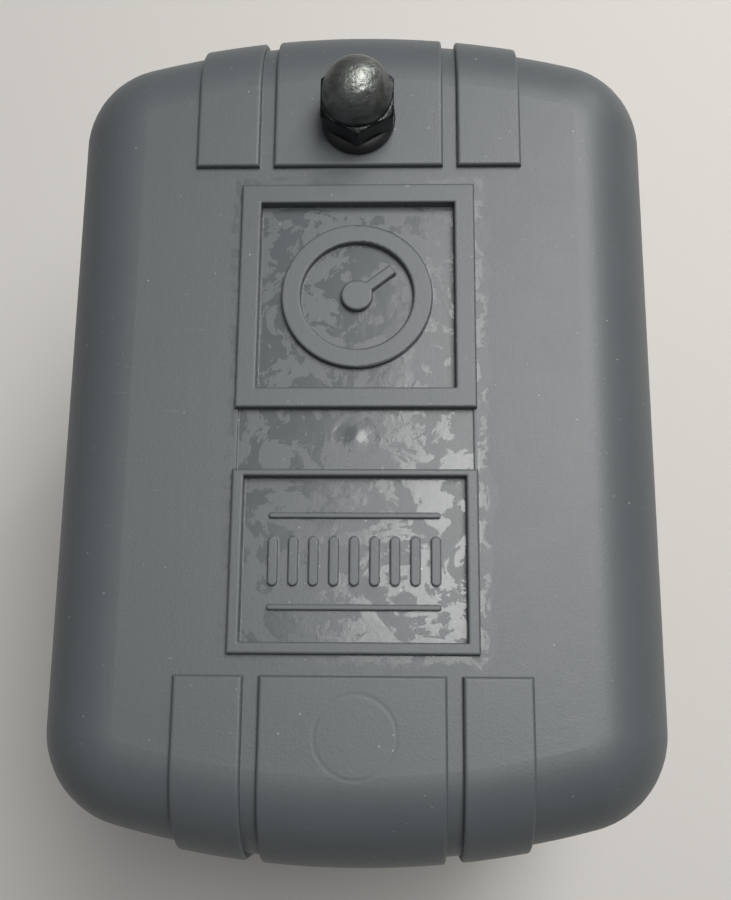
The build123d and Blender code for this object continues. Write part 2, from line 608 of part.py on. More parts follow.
def lever_pin():
    """The pin that the pressure lever turns on."""
    pin = pivot_pin(LEVER_PIVOT_Y, LEVER_PIVOT_Z, -CHEEK_OUTER, CHEEK_OUTER + CLIP_THICKNESS + 1.0)
    groove = cross_rod(PIVOT_PIN_RADIUS + 1, CHEEK_OUTER + 0.1, CHEEK_OUTER + 0.1 + CLIP_THICKNESS + 0.1,
                       LEVER_PIVOT_Y, LEVER_PIVOT_Z)
    groove -= cross_rod(PIVOT_PIN_RADIUS - 0.35, 0, 30, LEVER_PIVOT_Y, LEVER_PIVOT_Z)
    return pin - groove


def lever_pin_clip():
    """The E-shaped clip in the lever pin's groove."""
    x0 = CHEEK_OUTER + 0.15
    clip = cross_rod(CLIP_RADIUS, x0, x0 + CLIP_THICKNESS, LEVER_PIVOT_Y, LEVER_PIVOT_Z)
    clip -= cross_rod(PIVOT_PIN_RADIUS - 0.3, x0 - 1, x0 + 2, LEVER_PIVOT_Y, LEVER_PIVOT_Z)
    mouth = box(x0 - 1, x0 + 2, LEVER_PIVOT_Y - 1.2, LEVER_PIVOT_Y + 1.2, LEVER_PIVOT_Z - 5, LEVER_PIVOT_Z)
    return clip - mouth


def arm_pins():
    """Two short headed pins, one in each cheek, that the contact arm turns on."""
    inner = ARM_RAIL_OUTER - ARM_PIN_REACH
    pin = cross_rod(PIVOT_PIN_RADIUS, inner, CHEEK_OUTER, ARM_PIVOT_Y, ARM_PIVOT_Z)
    head = cross_rod(PIN_HEAD_RADIUS, CHEEK_OUTER, CHEEK_OUTER + PIN_HEAD, ARM_PIVOT_Y, ARM_PIVOT_Z)
    return both_sides(pin + head)


def terminal_block():
    """The moulded block: four bays with barriers between them, standing on the frame's shelf."""
    half_width = TERMINAL_COUNT / 2 * TERMINAL_PITCH + BARRIER_THICKNESS / 2
    body = box(-half_width, half_width, BLOCK_FRONT, BLOCK_REAR, SHELF_TOP, BLOCK_TOP)
    body = fillet(body.edges().filter_by(Axis.Z), 0.7)
    for i in range(TERMINAL_COUNT + 1):
        x = (i - TERMINAL_COUNT / 2) * TERMINAL_PITCH
        barrier = box(x - BARRIER_THICKNESS / 2, x + BARRIER_THICKNESS / 2, BLOCK_FRONT + 1, BLOCK_REAR - 1,
                      BLOCK_TOP - 1, BLOCK_TOP + BARRIER_HEIGHT)
        body += fillet(barrier.edges().filter_by(Axis.X).group_by(Axis.Z)[-1], 2.5)
    for x in TERMINALS:
        body -= rod(TERMINAL_SCREW_RADIUS + SCREW_GAP, BLOCK_TOP - 6.2, BLOCK_TOP + 1, x, TERMINAL_Y)
    for x in BRIDGES:
        body -= rod(BLOCK_SCREW_RADIUS + SCREW_GAP, SHELF_TOP - 1, SHELF_TOP + 5.5, x, TERMINAL_Y)
    return body


def block_screws():
    """Two screws that hold the block to the shelf from below."""
    seat = SHELF_TOP - SHEET
    screws = []
    for x in BRIDGES:
        head = rod(BLOCK_SCREW_HEAD_RADIUS, seat - BLOCK_SCREW_HEAD, seat, x, TERMINAL_Y)
        head = fillet(head.edges().group_by(Axis.Z)[0], 0.8)
        slot = Pos(x, TERMINAL_Y, seat - BLOCK_SCREW_HEAD + SLOT_DEPTH / 2) * Rot(0, 0, 35)
        head -= slot * Box(2.2 * BLOCK_SCREW_HEAD_RADIUS, SLOT_WIDTH, SLOT_DEPTH)
        screws.append(head + rod(BLOCK_SCREW_RADIUS, seat - 0.5, SHELF_TOP + 5, x, TERMINAL_Y))
    return Compound(screws)


def contact_strips():
    """Four brass strips from the terminals to the fixed contacts."""
    strips = []
    half = STRIP_METAL_WIDTH / 2
    for x in TERMINALS:
        strip = box(x - half, x + half, BLOCK_FRONT + 2.2, CONTACT_Y + 3.0, BLOCK_TOP, BLOCK_TOP + STRIP_METAL)
        strip = fillet(strip.edges().filter_by(Axis.Z), 1.0)
        strip -= rod(TERMINAL_SCREW_RADIUS + SCREW_GAP, BLOCK_TOP - 1, BLOCK_TOP + 3, x, TERMINAL_Y)
        strips.append(strip)
    return Compound(strips)


def fixed_tips():
    """The four fixed contact tips."""
    low = BLOCK_TOP + STRIP_METAL
    tips = []
    for x in TERMINALS:
        tip = rod(TIP_RADIUS, low, low + TIP_THICKNESS, x, CONTACT_Y)
        tips.append(chamfer(tip.edges().group_by(Axis.Z)[-1], TIP_EDGE))
    return Compound(tips)


def wire_clamps():
    """The four square clamp plates under the terminal screws."""
    low = BLOCK_TOP + STRIP_METAL + CLAMP_LIFT
    half = CLAMP_SIZE / 2
    clamps = []
    for x in TERMINALS:
        plate = box(x - half, x + half, TERMINAL_Y - half, TERMINAL_Y + half, low, low + CLAMP_THICKNESS)
        for side in (-1, 1):
            y = TERMINAL_Y + side * (half - 0.4)
            plate += box(x - half, x + half, y - 0.4, y + 0.4, low - 0.6, low + 0.5)
        plate -= rod(TERMINAL_SCREW_RADIUS + SCREW_GAP, low - 2, low + 3, x, TERMINAL_Y)
        clamps.append(plate)
    return Compound(clamps)


def terminal_screws():
    """The four binding-head terminal screws."""
    seat = BLOCK_TOP + STRIP_METAL + CLAMP_LIFT + CLAMP_THICKNESS
    screws = []
    for i, x in enumerate(TERMINALS):
        head = rod(TERMINAL_HEAD_RADIUS, seat, seat + TERMINAL_HEAD, x, TERMINAL_Y)
        head = fillet(head.edges().group_by(Axis.Z)[-1], 0.8)
        head = slotted(head, TERMINAL_HEAD_RADIUS, x, TERMINAL_Y, seat + TERMINAL_HEAD, 25 + 40 * i)
        screws.append(rod(TERMINAL_SCREW_RADIUS, BLOCK_TOP - 6, seat + 0.5, x, TERMINAL_Y) + head)
    return Compound(screws)


def bridge_levels():
    """The heights of the bridges' underside and top, with the contacts closed."""
    low = BLOCK_TOP + STRIP_METAL + 2 * TIP_THICKNESS
    return low, low + BRIDGE_THICKNESS


def bridge_cage(x):
    """The cage under the arm that a bridge passes through and drops on to when the arm lifts."""
    low, _ = bridge_levels()
    sill_top = low - BRIDGE_WIPE - CAGE_GAP
    half_width = (TERMINAL_PITCH - STRIP_METAL_WIDTH) / 2 - CAGE_SIDE_GAP
    half_depth = BEAM_DEPTH / 2
    window = BRIDGE_WIDTH / 2 + CAGE_GAP
    cage = box(x - half_width, x + half_width, CONTACT_Y - half_depth, CONTACT_Y + half_depth,
               sill_top - CAGE_SILL, BEAM_BOTTOM + 0.5)
    return cage - box(x - half_width, x + half_width, CONTACT_Y - window, CONTACT_Y + window, sill_top, BEAM_TOP)


def contact_arm():
    """The moulded contact arm: a beam over the contacts, two cages for the bridges, and two rails to the pivots."""
    beam_rear = CONTACT_Y + BEAM_DEPTH / 2
    beam = box(-BEAM_HALF_WIDTH, BEAM_HALF_WIDTH, CONTACT_Y - BEAM_DEPTH / 2, beam_rear, BEAM_BOTTOM, BEAM_TOP)
    beam = fillet(beam.edges().filter_by(Axis.Z), 2.0)
    beam = fillet(beam.edges().group_by(Axis.Z)[-1], 1.0)
    half_rail = ARM_RAIL_HEIGHT / 2
    rail_inner = ARM_RAIL_OUTER - ARM_RAIL_WIDTH
    rail = box(rail_inner, ARM_RAIL_OUTER, beam_rear - 1, ARM_PIVOT_Y, ARM_PIVOT_Z - half_rail + 1,
               ARM_PIVOT_Z + half_rail + 1)
    rail += cross_rod(ARM_HUB_RADIUS, rail_inner, ARM_RAIL_OUTER, ARM_PIVOT_Y, ARM_PIVOT_Z)
    rail -= cross_rod(PIVOT_PIN_RADIUS + PIN_RUNNING_GAP, 0, 30, ARM_PIVOT_Y, ARM_PIVOT_Z)
    body = beam + rail + mirror(rail, Plane.YZ)
    well = BRIDGE_SPRING_RADIUS + BRIDGE_SPRING_WIRE + CAGE_GAP
    for x in BRIDGES:
        body += bridge_cage(x)
        body -= rod(well, BEAM_BOTTOM - 1, BEAM_TOP - BEAM_ROOF, x, CONTACT_Y)
    return body - eye_shank()


def contact_bridges():
    """The two bridging bars, each with a round boss that guides its spring."""
    low, high = bridge_levels()
    reach = TERMINAL_PITCH / 2 + TIP_RADIUS + 1.0
    half_width = BRIDGE_WIDTH / 2
    bars = []
    for x in BRIDGES:
        bar = box(x - reach, x + reach, CONTACT_Y - half_width, CONTACT_Y + half_width, low, high)
        bar = fillet(bar.edges().filter_by(Axis.Z), 1.5)
        bars.append(bar + rod(BRIDGE_SPRING_RADIUS - BRIDGE_SPRING_WIRE - 0.3, high, high + 1.2, x, CONTACT_Y))
    return Compound(bars)


def moving_tips():
    """The four moving contact tips, under the bridges."""
    low, _ = bridge_levels()
    tips = []
    for x in TERMINALS:
        tip = rod(TIP_RADIUS, low - TIP_THICKNESS, low, x, CONTACT_Y)
        tips.append(chamfer(tip.edges().group_by(Axis.Z)[0], TIP_EDGE))
    return Compound(tips)


def wound(radius, wire, height, turns):
    """A wire wound round +Z; its centre line climbs from the origin's level to the height."""
    path = Helix(pitch=height / turns, height=height, radius=radius)
    profile = Plane(origin=path @ 0, z_dir=path % 0) * Circle(wire)
    return sweep(profile, path=path, is_frenet=True)


def open_spring(radius, wire, z0, z1, turns, x=0.0, y=0.0):
    """A light compression spring whose ends are left as wound."""
    return Pos(x, y, z0 + 1.1 * wire) * wound(radius, wire, z1 - z0 - 2.2 * wire, turns)


def ground_spring(radius, wire, z0, z1, turns, x=0.0, y=0.0):
    """A compression spring with ends ground flat, which fills the gap between two seats."""
    low = z0 + GROUND_END_GAP
    high = z1 - GROUND_END_GAP
    height = high - low + 2 * wire
    turns_in_all = turns * height / (high - low)
    reach = radius + 2 * wire
    solid = Pos(0, 0, low - wire) * wound(radius, wire, height, turns_in_all)
    return Pos(x, y, 0) * (solid & box(-reach, reach, -reach, reach, low, high))


def bridge_springs():
    """The two springs that press the bridges on to the fixed contacts."""
    _, high = bridge_levels()
    return Compound([open_spring(BRIDGE_SPRING_RADIUS, BRIDGE_SPRING_WIRE, high, BEAM_TOP - BEAM_ROOF,
                                 BRIDGE_SPRING_TURNS, x, CONTACT_Y) for x in BRIDGES])


def toggle_spring():
    """The coils of the extension spring that snaps the arm over, between its post and its eye."""
    hook_z = LEVER_TOP + HOOK_HEIGHT
    run = HOOK_Y - TOGGLE_END_Y
    rise = hook_z - TOGGLE_END_Z
    reach = hypot(run, rise) / 2 - TOGGLE_LOOP
    coils = open_spring(TOGGLE_RADIUS, TOGGLE_WIRE, -reach, reach, TOGGLE_TURNS)
    middle = Pos(0, (HOOK_Y + TOGGLE_END_Y) / 2, (hook_z + TOGGLE_END_Z) / 2)
    return middle * Rot(degrees(atan2(rise, run)) - 90, 0, 0) * coils


def eye_shank():
    """The part of the toggle spring's eye that is moulded into the arm."""
    rear = CONTACT_Y + BEAM_DEPTH / 2
    start = rear - EYE_SHANK
    end = TOGGLE_END_Y - EYE_RADIUS + 0.2
    return Pos(0, (start + end) / 2, TOGGLE_END_Z) * Rot(90, 0, 0) * Cylinder(EYE_WIRE, end - start)


def toggle_hook():
    """The steel eye in the arm's beam for the toggle spring."""
    eye = Pos(0, TOGGLE_END_Y, TOGGLE_END_Z) * Rot(0, 90, 0) * Torus(EYE_RADIUS, EYE_WIRE)
    return eye_shank() + eye


def range_levels():
    """Heights of the range spring's foot and top, and of the seat's top."""
    foot = LEVER_TOP
    top = foot + RANGE_SPRING_LENGTH
    return foot, top, top + RANGE_SEAT


def stud_tip():
    """The top of the range stud, inside the cap nut."""
    return COVER_TOP + PAD_RISE + WASHER_THICKNESS + CAP_STUD_ENTRY


def riveted_foot(x, y):
    """The riveted end of a stud, below the tray."""
    return rod(THREAD_RADIUS + RIVETED_FOOT_RIM, TRAY_BOTTOM - RIVETED_FOOT, TRAY_BOTTOM, x, y)


def range_stud():
    """The long stud: riveted in the tray, a hexagonal collar that the lever rests on, and thread to the cap nut."""
    body = rod(THREAD_RADIUS, TRAY_BOTTOM, stud_tip(), 0, STUD_Y)
    body = chamfer(body.edges().group_by(Axis.Z)[-1], 0.5)
    body += riveted_foot(0, STUD_Y)
    return body + chamfered_hexagon(COLLAR_FLATS, FLOOR, LEVER_UNDERSIDE, 0, STUD_Y, bottom=False)


def seat_cup(radius, thickness, low, x, y, guide):
    """An upper spring seat: a disc with a guide inside the spring."""
    disc = rod(radius, low, low + thickness, x, y)
    disc = fillet(disc.edges().group_by(Axis.Z)[-1], 0.4)
    body = disc + rod(guide, low - SEAT_GUIDE, low + 0.5, x, y)
    return body - rod(THREAD_RADIUS + SLIDING_GAP, low - 5, low + thickness + 5, x, y)


def range_seat():
    """The range spring's upper seat."""
    _, top, _ = range_levels()
    guide = RANGE_SPRING_RADIUS - RANGE_WIRE - SEAT_GUIDE_GAP
    return seat_cup(RANGE_SEAT_RADIUS, RANGE_SEAT, top, 0, STUD_Y, guide)


def hex_nut(low, x, y):
    """A plain hexagonal nut on a stud."""
    body = chamfered_hexagon(NUT_FLATS, low, low + NUT_HEIGHT, x, y)
    return body - rod(THREAD_RADIUS + THREAD_GAP, low - 1, low + NUT_HEIGHT + 1, x, y)


def range_nut():
    """The range adjusting nut."""
    return hex_nut(range_levels()[2], 0, STUD_Y)


def range_spring():
    """The large spring that sets the switching range."""
    foot, top, _ = range_levels()
    return ground_spring(RANGE_SPRING_RADIUS, RANGE_WIRE, foot, top, RANGE_TURNS, 0, STUD_Y)


def diff_levels():
    """Heights of the differential spring's lower seat, foot and top, and of the upper seat's top."""
    shoulder = LEVER_TOP + DIFF_PICKUP_GAP
    foot = shoulder + DIFF_SEAT
    top = foot + DIFF_SPRING_LENGTH
    return shoulder, foot, top, top + DIFF_SEAT


def diff_stud():
    """The differential stud, with the shoulder that its lower seat stands on."""
    shoulder, _, _, seat_top = diff_levels()
    body = rod(THREAD_RADIUS, TRAY_BOTTOM, seat_top + NUT_HEIGHT + DIFF_STUD_END, DIFF_X, DIFF_Y)
    body = chamfer(body.edges().group_by(Axis.Z)[-1], 0.5)
    return body + rod(DIFF_SHOULDER_RADIUS, FLOOR, shoulder, DIFF_X, DIFF_Y)


def diff_lower_seat():
    """The washer that the lever's ear lifts."""
    shoulder, foot, _, _ = diff_levels()
    return ring(DIFF_SEAT_RADIUS, THREAD_RADIUS + SLIDING_GAP, shoulder, foot, DIFF_X, DIFF_Y)


def diff_seat():
    """The differential spring's upper seat."""
    _, _, top, _ = diff_levels()
    guide = DIFF_SPRING_RADIUS - DIFF_WIRE - SEAT_GUIDE_GAP
    return seat_cup(DIFF_SEAT_RADIUS, DIFF_SEAT, top, DIFF_X, DIFF_Y, guide)


def diff_nut():
    """The differential adjusting nut."""
    return hex_nut(diff_levels()[3], DIFF_X, DIFF_Y)


def diff_spring():
    """The small spring that sets the differential."""
    _, foot, top, _ = diff_levels()
    return ground_spring(DIFF_SPRING_RADIUS, DIFF_WIRE, foot, top, DIFF_TURNS, DIFF_X, DIFF_Y)


def nut_washer():
    """The rubber washer between the cap nut and the cover."""
    low = COVER_TOP + PAD_RISE
    body = ring(WASHER_RADIUS, THREAD_RADIUS + SLIDING_GAP, low, low + WASHER_THICKNESS, 0, STUD_Y)
    return fillet(body.edges().group_by(Axis.Z)[-1].sort_by(SortBy.RADIUS)[-1], 0.4)


def cap_nut():
    """The domed cap nut, hollow over the stud's tip."""
    low = COVER_TOP + PAD_RISE + WASHER_THICKNESS
    body = chamfered_hexagon(NUT_FLATS, low, low + CAP_HEX_HEIGHT, 0, STUD_Y)
    spring_line = low + CAP_HEIGHT - CAP_DOME_RADIUS
    body += rod(CAP_DOME_RADIUS, low + 1, spring_line, 0, STUD_Y)
    body += Pos(0, STUD_Y, spring_line) * Sphere(CAP_DOME_RADIUS)
    return body - rod(THREAD_RADIUS + THREAD_GAP, low - 1, low + CAP_STUD_ENTRY + 1.0, 0, STUD_Y)


def ground_screws():
    """Two ground screws in the tray's floor."""
    seat = FLOOR + GROUND_WASHER
    screw = rod(THREAD_RADIUS, TRAY_BOTTOM - GROUND_END, seat + 0.5, GROUND_X, GROUND_Y)
    head = chamfered_hexagon(GROUND_HEAD_FLATS, seat, seat + GROUND_HEAD, GROUND_X, GROUND_Y, bottom=False)
    head = slotted(head, GROUND_HEAD_FLATS * 0.6, GROUND_X, GROUND_Y, seat + GROUND_HEAD, 20)
    return both_sides(screw + head)


def ground_washers():
    """The washers under the ground screws."""
    washer = ring(GROUND_WASHER_RADIUS, THREAD_RADIUS + THREAD_GAP, FLOOR, FLOOR + GROUND_WASHER,
                  GROUND_X, GROUND_Y)
    return both_sides(washer)


def write(name, shape):
    """Writes one sub-part to its own file."""
    export_step(shape, os.path.join("parts", f"{name}.step"))


def main():
    """Builds every sub-part."""
    os.makedirs("parts", exist_ok=True)
    nodes = {
        "cover": cover, "cap_nut": cap_nut, "nut_washer": nut_washer, "base_tray": tray,
        "port_flange": port_flange, "flange_screws": flange_screws, "diaphragm": diaphragm, "piston": piston,
        "pressure_lever": lever, "lever_button": lever_button, "mechanism_frame": mechanism_frame,
        "frame_rivets": frame_rivets, "lever_pin": lever_pin, "lever_pin_clip": lever_pin_clip,
        "arm_pins": arm_pins, "terminal_block": terminal_block, "block_screws": block_screws,
        "contact_strips": contact_strips, "fixed_contact_tips": fixed_tips, "wire_clamps": wire_clamps,
        "terminal_screws": terminal_screws, "contact_arm": contact_arm, "contact_bridges": contact_bridges,
        "moving_contact_tips": moving_tips, "bridge_springs": bridge_springs, "toggle_spring": toggle_spring,
        "toggle_hook": toggle_hook, "range_stud": range_stud, "range_spring": range_spring,
        "range_seat": range_seat, "range_nut": range_nut, "differential_stud": diff_stud,
        "differential_spring": diff_spring, "differential_lower_seat": diff_lower_seat,
        "differential_seat": diff_seat, "differential_nut": diff_nut, "ground_screws": ground_screws,
        "ground_washers": ground_washers,
    }
    for name, make in nodes.items():
        write(name, make())


if __name__ == "__main__":
    main()
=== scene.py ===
"""Looks of the pressure switch: its finishes, springs, studs and fasteners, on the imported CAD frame."""

import json
import logging
from dataclasses import dataclass
from enum import Enum
from math import cos, pi, radians, sin, tan
from typing import Optional, Sequence, Union

import bpy
from mathutils import Matrix, Vector


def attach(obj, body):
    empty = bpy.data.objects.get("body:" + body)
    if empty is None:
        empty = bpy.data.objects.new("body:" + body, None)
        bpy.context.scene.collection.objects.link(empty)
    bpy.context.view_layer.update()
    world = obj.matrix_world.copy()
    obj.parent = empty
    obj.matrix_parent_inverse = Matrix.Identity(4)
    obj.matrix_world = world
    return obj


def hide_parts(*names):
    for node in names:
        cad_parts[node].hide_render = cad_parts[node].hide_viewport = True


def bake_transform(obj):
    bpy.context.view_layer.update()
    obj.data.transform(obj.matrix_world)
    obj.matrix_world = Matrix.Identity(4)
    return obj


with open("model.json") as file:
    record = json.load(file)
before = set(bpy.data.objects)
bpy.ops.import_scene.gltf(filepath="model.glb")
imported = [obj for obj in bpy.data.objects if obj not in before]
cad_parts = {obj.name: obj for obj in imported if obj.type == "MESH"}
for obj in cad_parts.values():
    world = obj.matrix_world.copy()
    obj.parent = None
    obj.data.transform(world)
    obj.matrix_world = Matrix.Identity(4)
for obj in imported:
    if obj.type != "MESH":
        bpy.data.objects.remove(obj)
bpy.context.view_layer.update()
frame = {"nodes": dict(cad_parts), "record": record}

MM = 0.001
GRIND_WIDTH = 140.0         # millimetres, wider than anything that is ground flat
MERGE = 0.000002            # metres; points closer than this are one point
SHARP = 30                  # degrees; edges sharper than this are rounded
NUT_FLATS = 8.73            # millimetres across the flats of every nut
RANGE_AXIS = (0.0, 36.25)   # the range stud in plan, in millimetres
DIFFERENTIAL_AXIS = (19.5, 9.0)
log = logging.getLogger("pressure_switch")

Piece = bpy.types.Object
Pair = tuple[float, float]
Point = tuple[float, float, float]
Profile = Sequence[Pair]
Colour = tuple[float, float, float]


# ----- shader expressions

class Signal:
    """One value in a material's node tree, which Python's operators combine into Math nodes."""

    def __init__(self, graph: "NodeGraph", socket: bpy.types.NodeSocket) -> None:
        """Wraps a socket.

        Args:
            graph: The node graph that the socket belongs to.
            socket: The output socket.
        """
        self.graph = graph
        self.socket = socket

    def __add__(self, other: "Number") -> "Signal":
        """Sum."""
        return self.graph.math("ADD", self, other)

    def __radd__(self, other: "Number") -> "Signal":
        """Sum with a number on the left."""
        return self.graph.math("ADD", other, self)

    def __sub__(self, other: "Number") -> "Signal":
        """Difference."""
        return self.graph.math("SUBTRACT", self, other)

    def __rsub__(self, other: "Number") -> "Signal":
        """Difference from a number on the left."""
        return self.graph.math("SUBTRACT", other, self)

    def __mul__(self, other: "Number") -> "Signal":
        """Product."""
        return self.graph.math("MULTIPLY", self, other)

    def __rmul__(self, other: "Number") -> "Signal":
        """Product with a number on the left."""
        return self.graph.math("MULTIPLY", other, self)

    def __abs__(self) -> "Signal":
        """Absolute value."""
        return self.graph.math("ABSOLUTE", self)

    def most(self, other: "Number") -> "Signal":
        """The larger of this and another value."""
        return self.graph.math("MAXIMUM", self, other)

    def least(self, other: "Number") -> "Signal":
        """The smaller of this and another value."""
        return self.graph.math("MINIMUM", self, other)

    def step(self, low: float, high: float) -> "Signal":
        """Rises smoothly from 0 at low to 1 at high.

        Args:
            low: Where the rise starts.
            high: Where it ends; below low for a fall.

        Returns:
            The smoothed value, from 0 to 1.
        """
        return self.graph.node("ShaderNodeMapRange", {"interpolation_type": "SMOOTHSTEP", "clamp": True},
                               {"Value": self, "From Min": low, "From Max": high})

    def fit(self, low: float, high: float) -> "Signal":
        """Spreads 0 to 1 over low to high.

        Args:
            low: The value at 0.
            high: The value at 1.

        Returns:
            The spread value.
        """
        return self.graph.node("ShaderNodeMapRange", {"clamp": True},
                               {"Value": self, "To Min": low, "To Max": high})


Number = Union[Signal, float]


class NodeGraph:
    """A material's node tree with one Principled surface."""

    def __init__(self, name: str) -> None:
        """Starts a material.

        Args:
            name: The material's name.
        """
        self.material = bpy.data.materials.new(name)
        self.material.use_nodes = True
        self.tree = self.material.node_tree
        self.tree.nodes.clear()
        self.surface = self.tree.nodes.new("ShaderNodeBsdfPrincipled")
        output = self.tree.nodes.new("ShaderNodeOutputMaterial")
        self.tree.links.new(self.surface.outputs[0], output.inputs[0])
        self.place = self.node("ShaderNodeTexCoord", output="Object")

    def node(self, kind: str, settings: Optional[dict] = None, inputs: Optional[dict] = None,
             output: Union[str, int] = 0) -> Signal:
        """Adds one node.

        Args:
            kind: The node's type name.
            settings: Its own settings, set first.
            inputs: Values or signals for its sockets, by name or number.
            output: The output that is wanted.

        Returns:
            The wanted output.
        """
        made = self.tree.nodes.new(kind)
        for key, value in (settings or {}).items():
            setattr(made, key, value)
        for key, value in (inputs or {}).items():
            if isinstance(value, Signal):
                self.tree.links.new(value.socket, made.inputs[key])
            else:
                made.inputs[key].default_value = value
        return Signal(self, made.outputs[output])

    def math(self, operation: str, *values: Number) -> Signal:
        """A Math node on the values."""
        return self.node("ShaderNodeMath", {"operation": operation}, dict(enumerate(values)))

    def noise(self, size: float, detail: float = 2.0, rough: float = 0.5, warp: float = 0.0,
              at: Optional[Signal] = None) -> Signal:
        """Smooth noise.

        Args:
            size: The size of its features, in metres.
            detail: How many finer layers it has.
            rough: How strong they are.
            warp: How far it is distorted.
            at: The place that it is read at, if not the object's own coordinates.

        Returns:
            The noise, from 0 to 1.
        """
        return self.node("ShaderNodeTexNoise", {},
                         {"Vector": at or self.place, "Scale": 1 / size, "Detail": detail, "Roughness": rough,
                          "Distortion": warp})

    def stretched(self, scale: Point, turn: float = 0.0) -> Signal:
        """The object's coordinates, turned about Z and scaled, for streaks and scratches.

        Args:
            scale: The factor along each axis.
            turn: Degrees about Z.

        Returns:
            The changed place.
        """
        return self.node("ShaderNodeMapping", {}, {"Vector": self.place, "Rotation": (0, 0, radians(turn)),
                                                   "Scale": scale})

    def axes(self) -> tuple[Signal, Signal, Signal]:
        """The place's three coordinates, in metres."""
        split = self.node("ShaderNodeSeparateXYZ", {}, {0: self.place})
        return tuple(Signal(self, socket) for socket in split.socket.node.outputs)

    def mix(self, share: Number, first: Union[Colour, Signal], second: Union[Colour, Signal]) -> Signal:
        """Mixes two colours.

        Args:
            share: How much of the second shows.
            first: The first colour.
            second: The second colour.

        Returns:
            The mixed colour.
        """
        def full(colour: Union[Colour, Signal]) -> Union[tuple, Signal]:
            """A colour with its alpha."""
            return colour if isinstance(colour, Signal) else (*colour, 1.0)

        return self.node("ShaderNodeMix", {"data_type": "RGBA"},
                         {0: share, 6: full(first), 7: full(second)}, output=2)

    def edges(self, radius: float) -> tuple[Signal, Signal]:
        """Eased edges.

        Args:
            radius: How wide they are eased, in metres.

        Returns:
            The eased normal, and a mask that is 1 on the edges.
        """
        eased = self.node("ShaderNodeBevel", {"samples": 4}, {"Radius": radius})
        plain = self.node("ShaderNodeNewGeometry", output="Normal")
        along = self.node("ShaderNodeVectorMath", {"operation": "DOT_PRODUCT"}, {0: eased, 1: plain},
                          output="Value")
        return eased, (1 - along).step(0.01, 0.2)

    def bump(self, height: Signal, depth: float, below: Optional[Signal] = None) -> Signal:
        """A Bump node.

        Args:
            height: The relief, from 0 to 1.
            depth: What 1 stands for, in metres.
            below: The normal that it is added to.

        Returns:
            The bumped normal.
        """
        inputs = {"Height": height, "Distance": depth, "Strength": 1.0}
        if below is not None:
            inputs["Normal"] = below
        return self.node("ShaderNodeBump", {}, inputs)

    def finish(self, **sockets: Union[Number, Colour]) -> bpy.types.Material:
        """Sets the surface's sockets.

        Args:
            sockets: Values or signals by socket name, with _ for a space.

        Returns:
            The finished material.
        """
        for name, value in sockets.items():
            socket = self.surface.inputs[name.replace("_", " ")]
            if isinstance(value, Signal):
                self.tree.links.new(value.socket, socket)
            elif isinstance(value, tuple):
                socket.default_value = (*value, 1.0)
            else:
                socket.default_value = value
        return self.material


# ----- finishes

def tint(colour: Colour, factor: float, lift: float = 0.0) -> Colour:
    """A colour times a factor, plus a lift, up to white."""
    return tuple(min(1.0, factor * c + lift) for c in colour)


@dataclass(frozen=True)
class Metal:
    """A plated, cast, rolled or drawn metal."""

    name: str
    colour: Colour
    second: Colour              # the tint of its patches
    roughness: Pair
    patch: float = 6 * MM       # size of the patches
    grain: float = 0.25 * MM    # size of the skin's grain
    grain_depth: float = 0.004 * MM
    dent: float = 1.1 * MM      # size of the hammered dents
    dent_depth: float = 0.0
    streak: float = 0.3         # how strongly it is brushed, from 0 to 1
    streak_scale: Point = (900, 40, 900)
    worn: float = 0.35          # how bright its edges are worn
    edge: float = 0.12 * MM
    grime: float = 0.25         # how dark and rough its stains are
    metallic: float = 1.0

    def make(self) -> bpy.types.Material:
        """Builds the material."""
        g = NodeGraph(self.name)
        normal, edge = g.edges(self.edge)
        patches = g.noise(self.patch, 4, 0.6, 0.6).step(0.35, 0.65)
        stains = g.noise(self.patch * 2.3, 6, 0.7, 1.2).step(0.52, 0.72)
        skin = g.noise(self.grain, 2, 0.5)
        streaks = g.noise(1.0, 3, 0.6, at=g.stretched(self.streak_scale, 12))
        nicks = g.noise(1.0, 1, 0.4, at=g.stretched((260, 5200, 1400), 31)).step(0.72, 0.78)
        colour = g.mix(patches * 0.8, self.colour, self.second)
        dark = tint(self.colour, 0.45)
        colour = g.mix(stains * self.grime, colour, dark)
        light = tint(self.colour, 1.35, 0.03)
        colour = g.mix((edge * self.worn + nicks * 0.25).least(1.0), colour, light)
        low, high = self.roughness
        rough = (patches * 0.4 + streaks * self.streak + skin * (0.6 - 0.5 * self.streak)).fit(low, high)
        rough = rough + stains * (0.18 * self.grime) - nicks * 0.06
        height = skin * (1 - 0.6 * self.streak) + streaks * self.streak - nicks * 0.8
        normal = g.bump(height, self.grain_depth, normal)
        if self.dent_depth:
            dents = g.noise(self.dent, 3, 0.55, 0.3)
            normal = g.bump(dents, self.dent_depth, normal)
        return g.finish(Base_Color=colour, Roughness=rough, Metallic=self.metallic, Normal=normal)


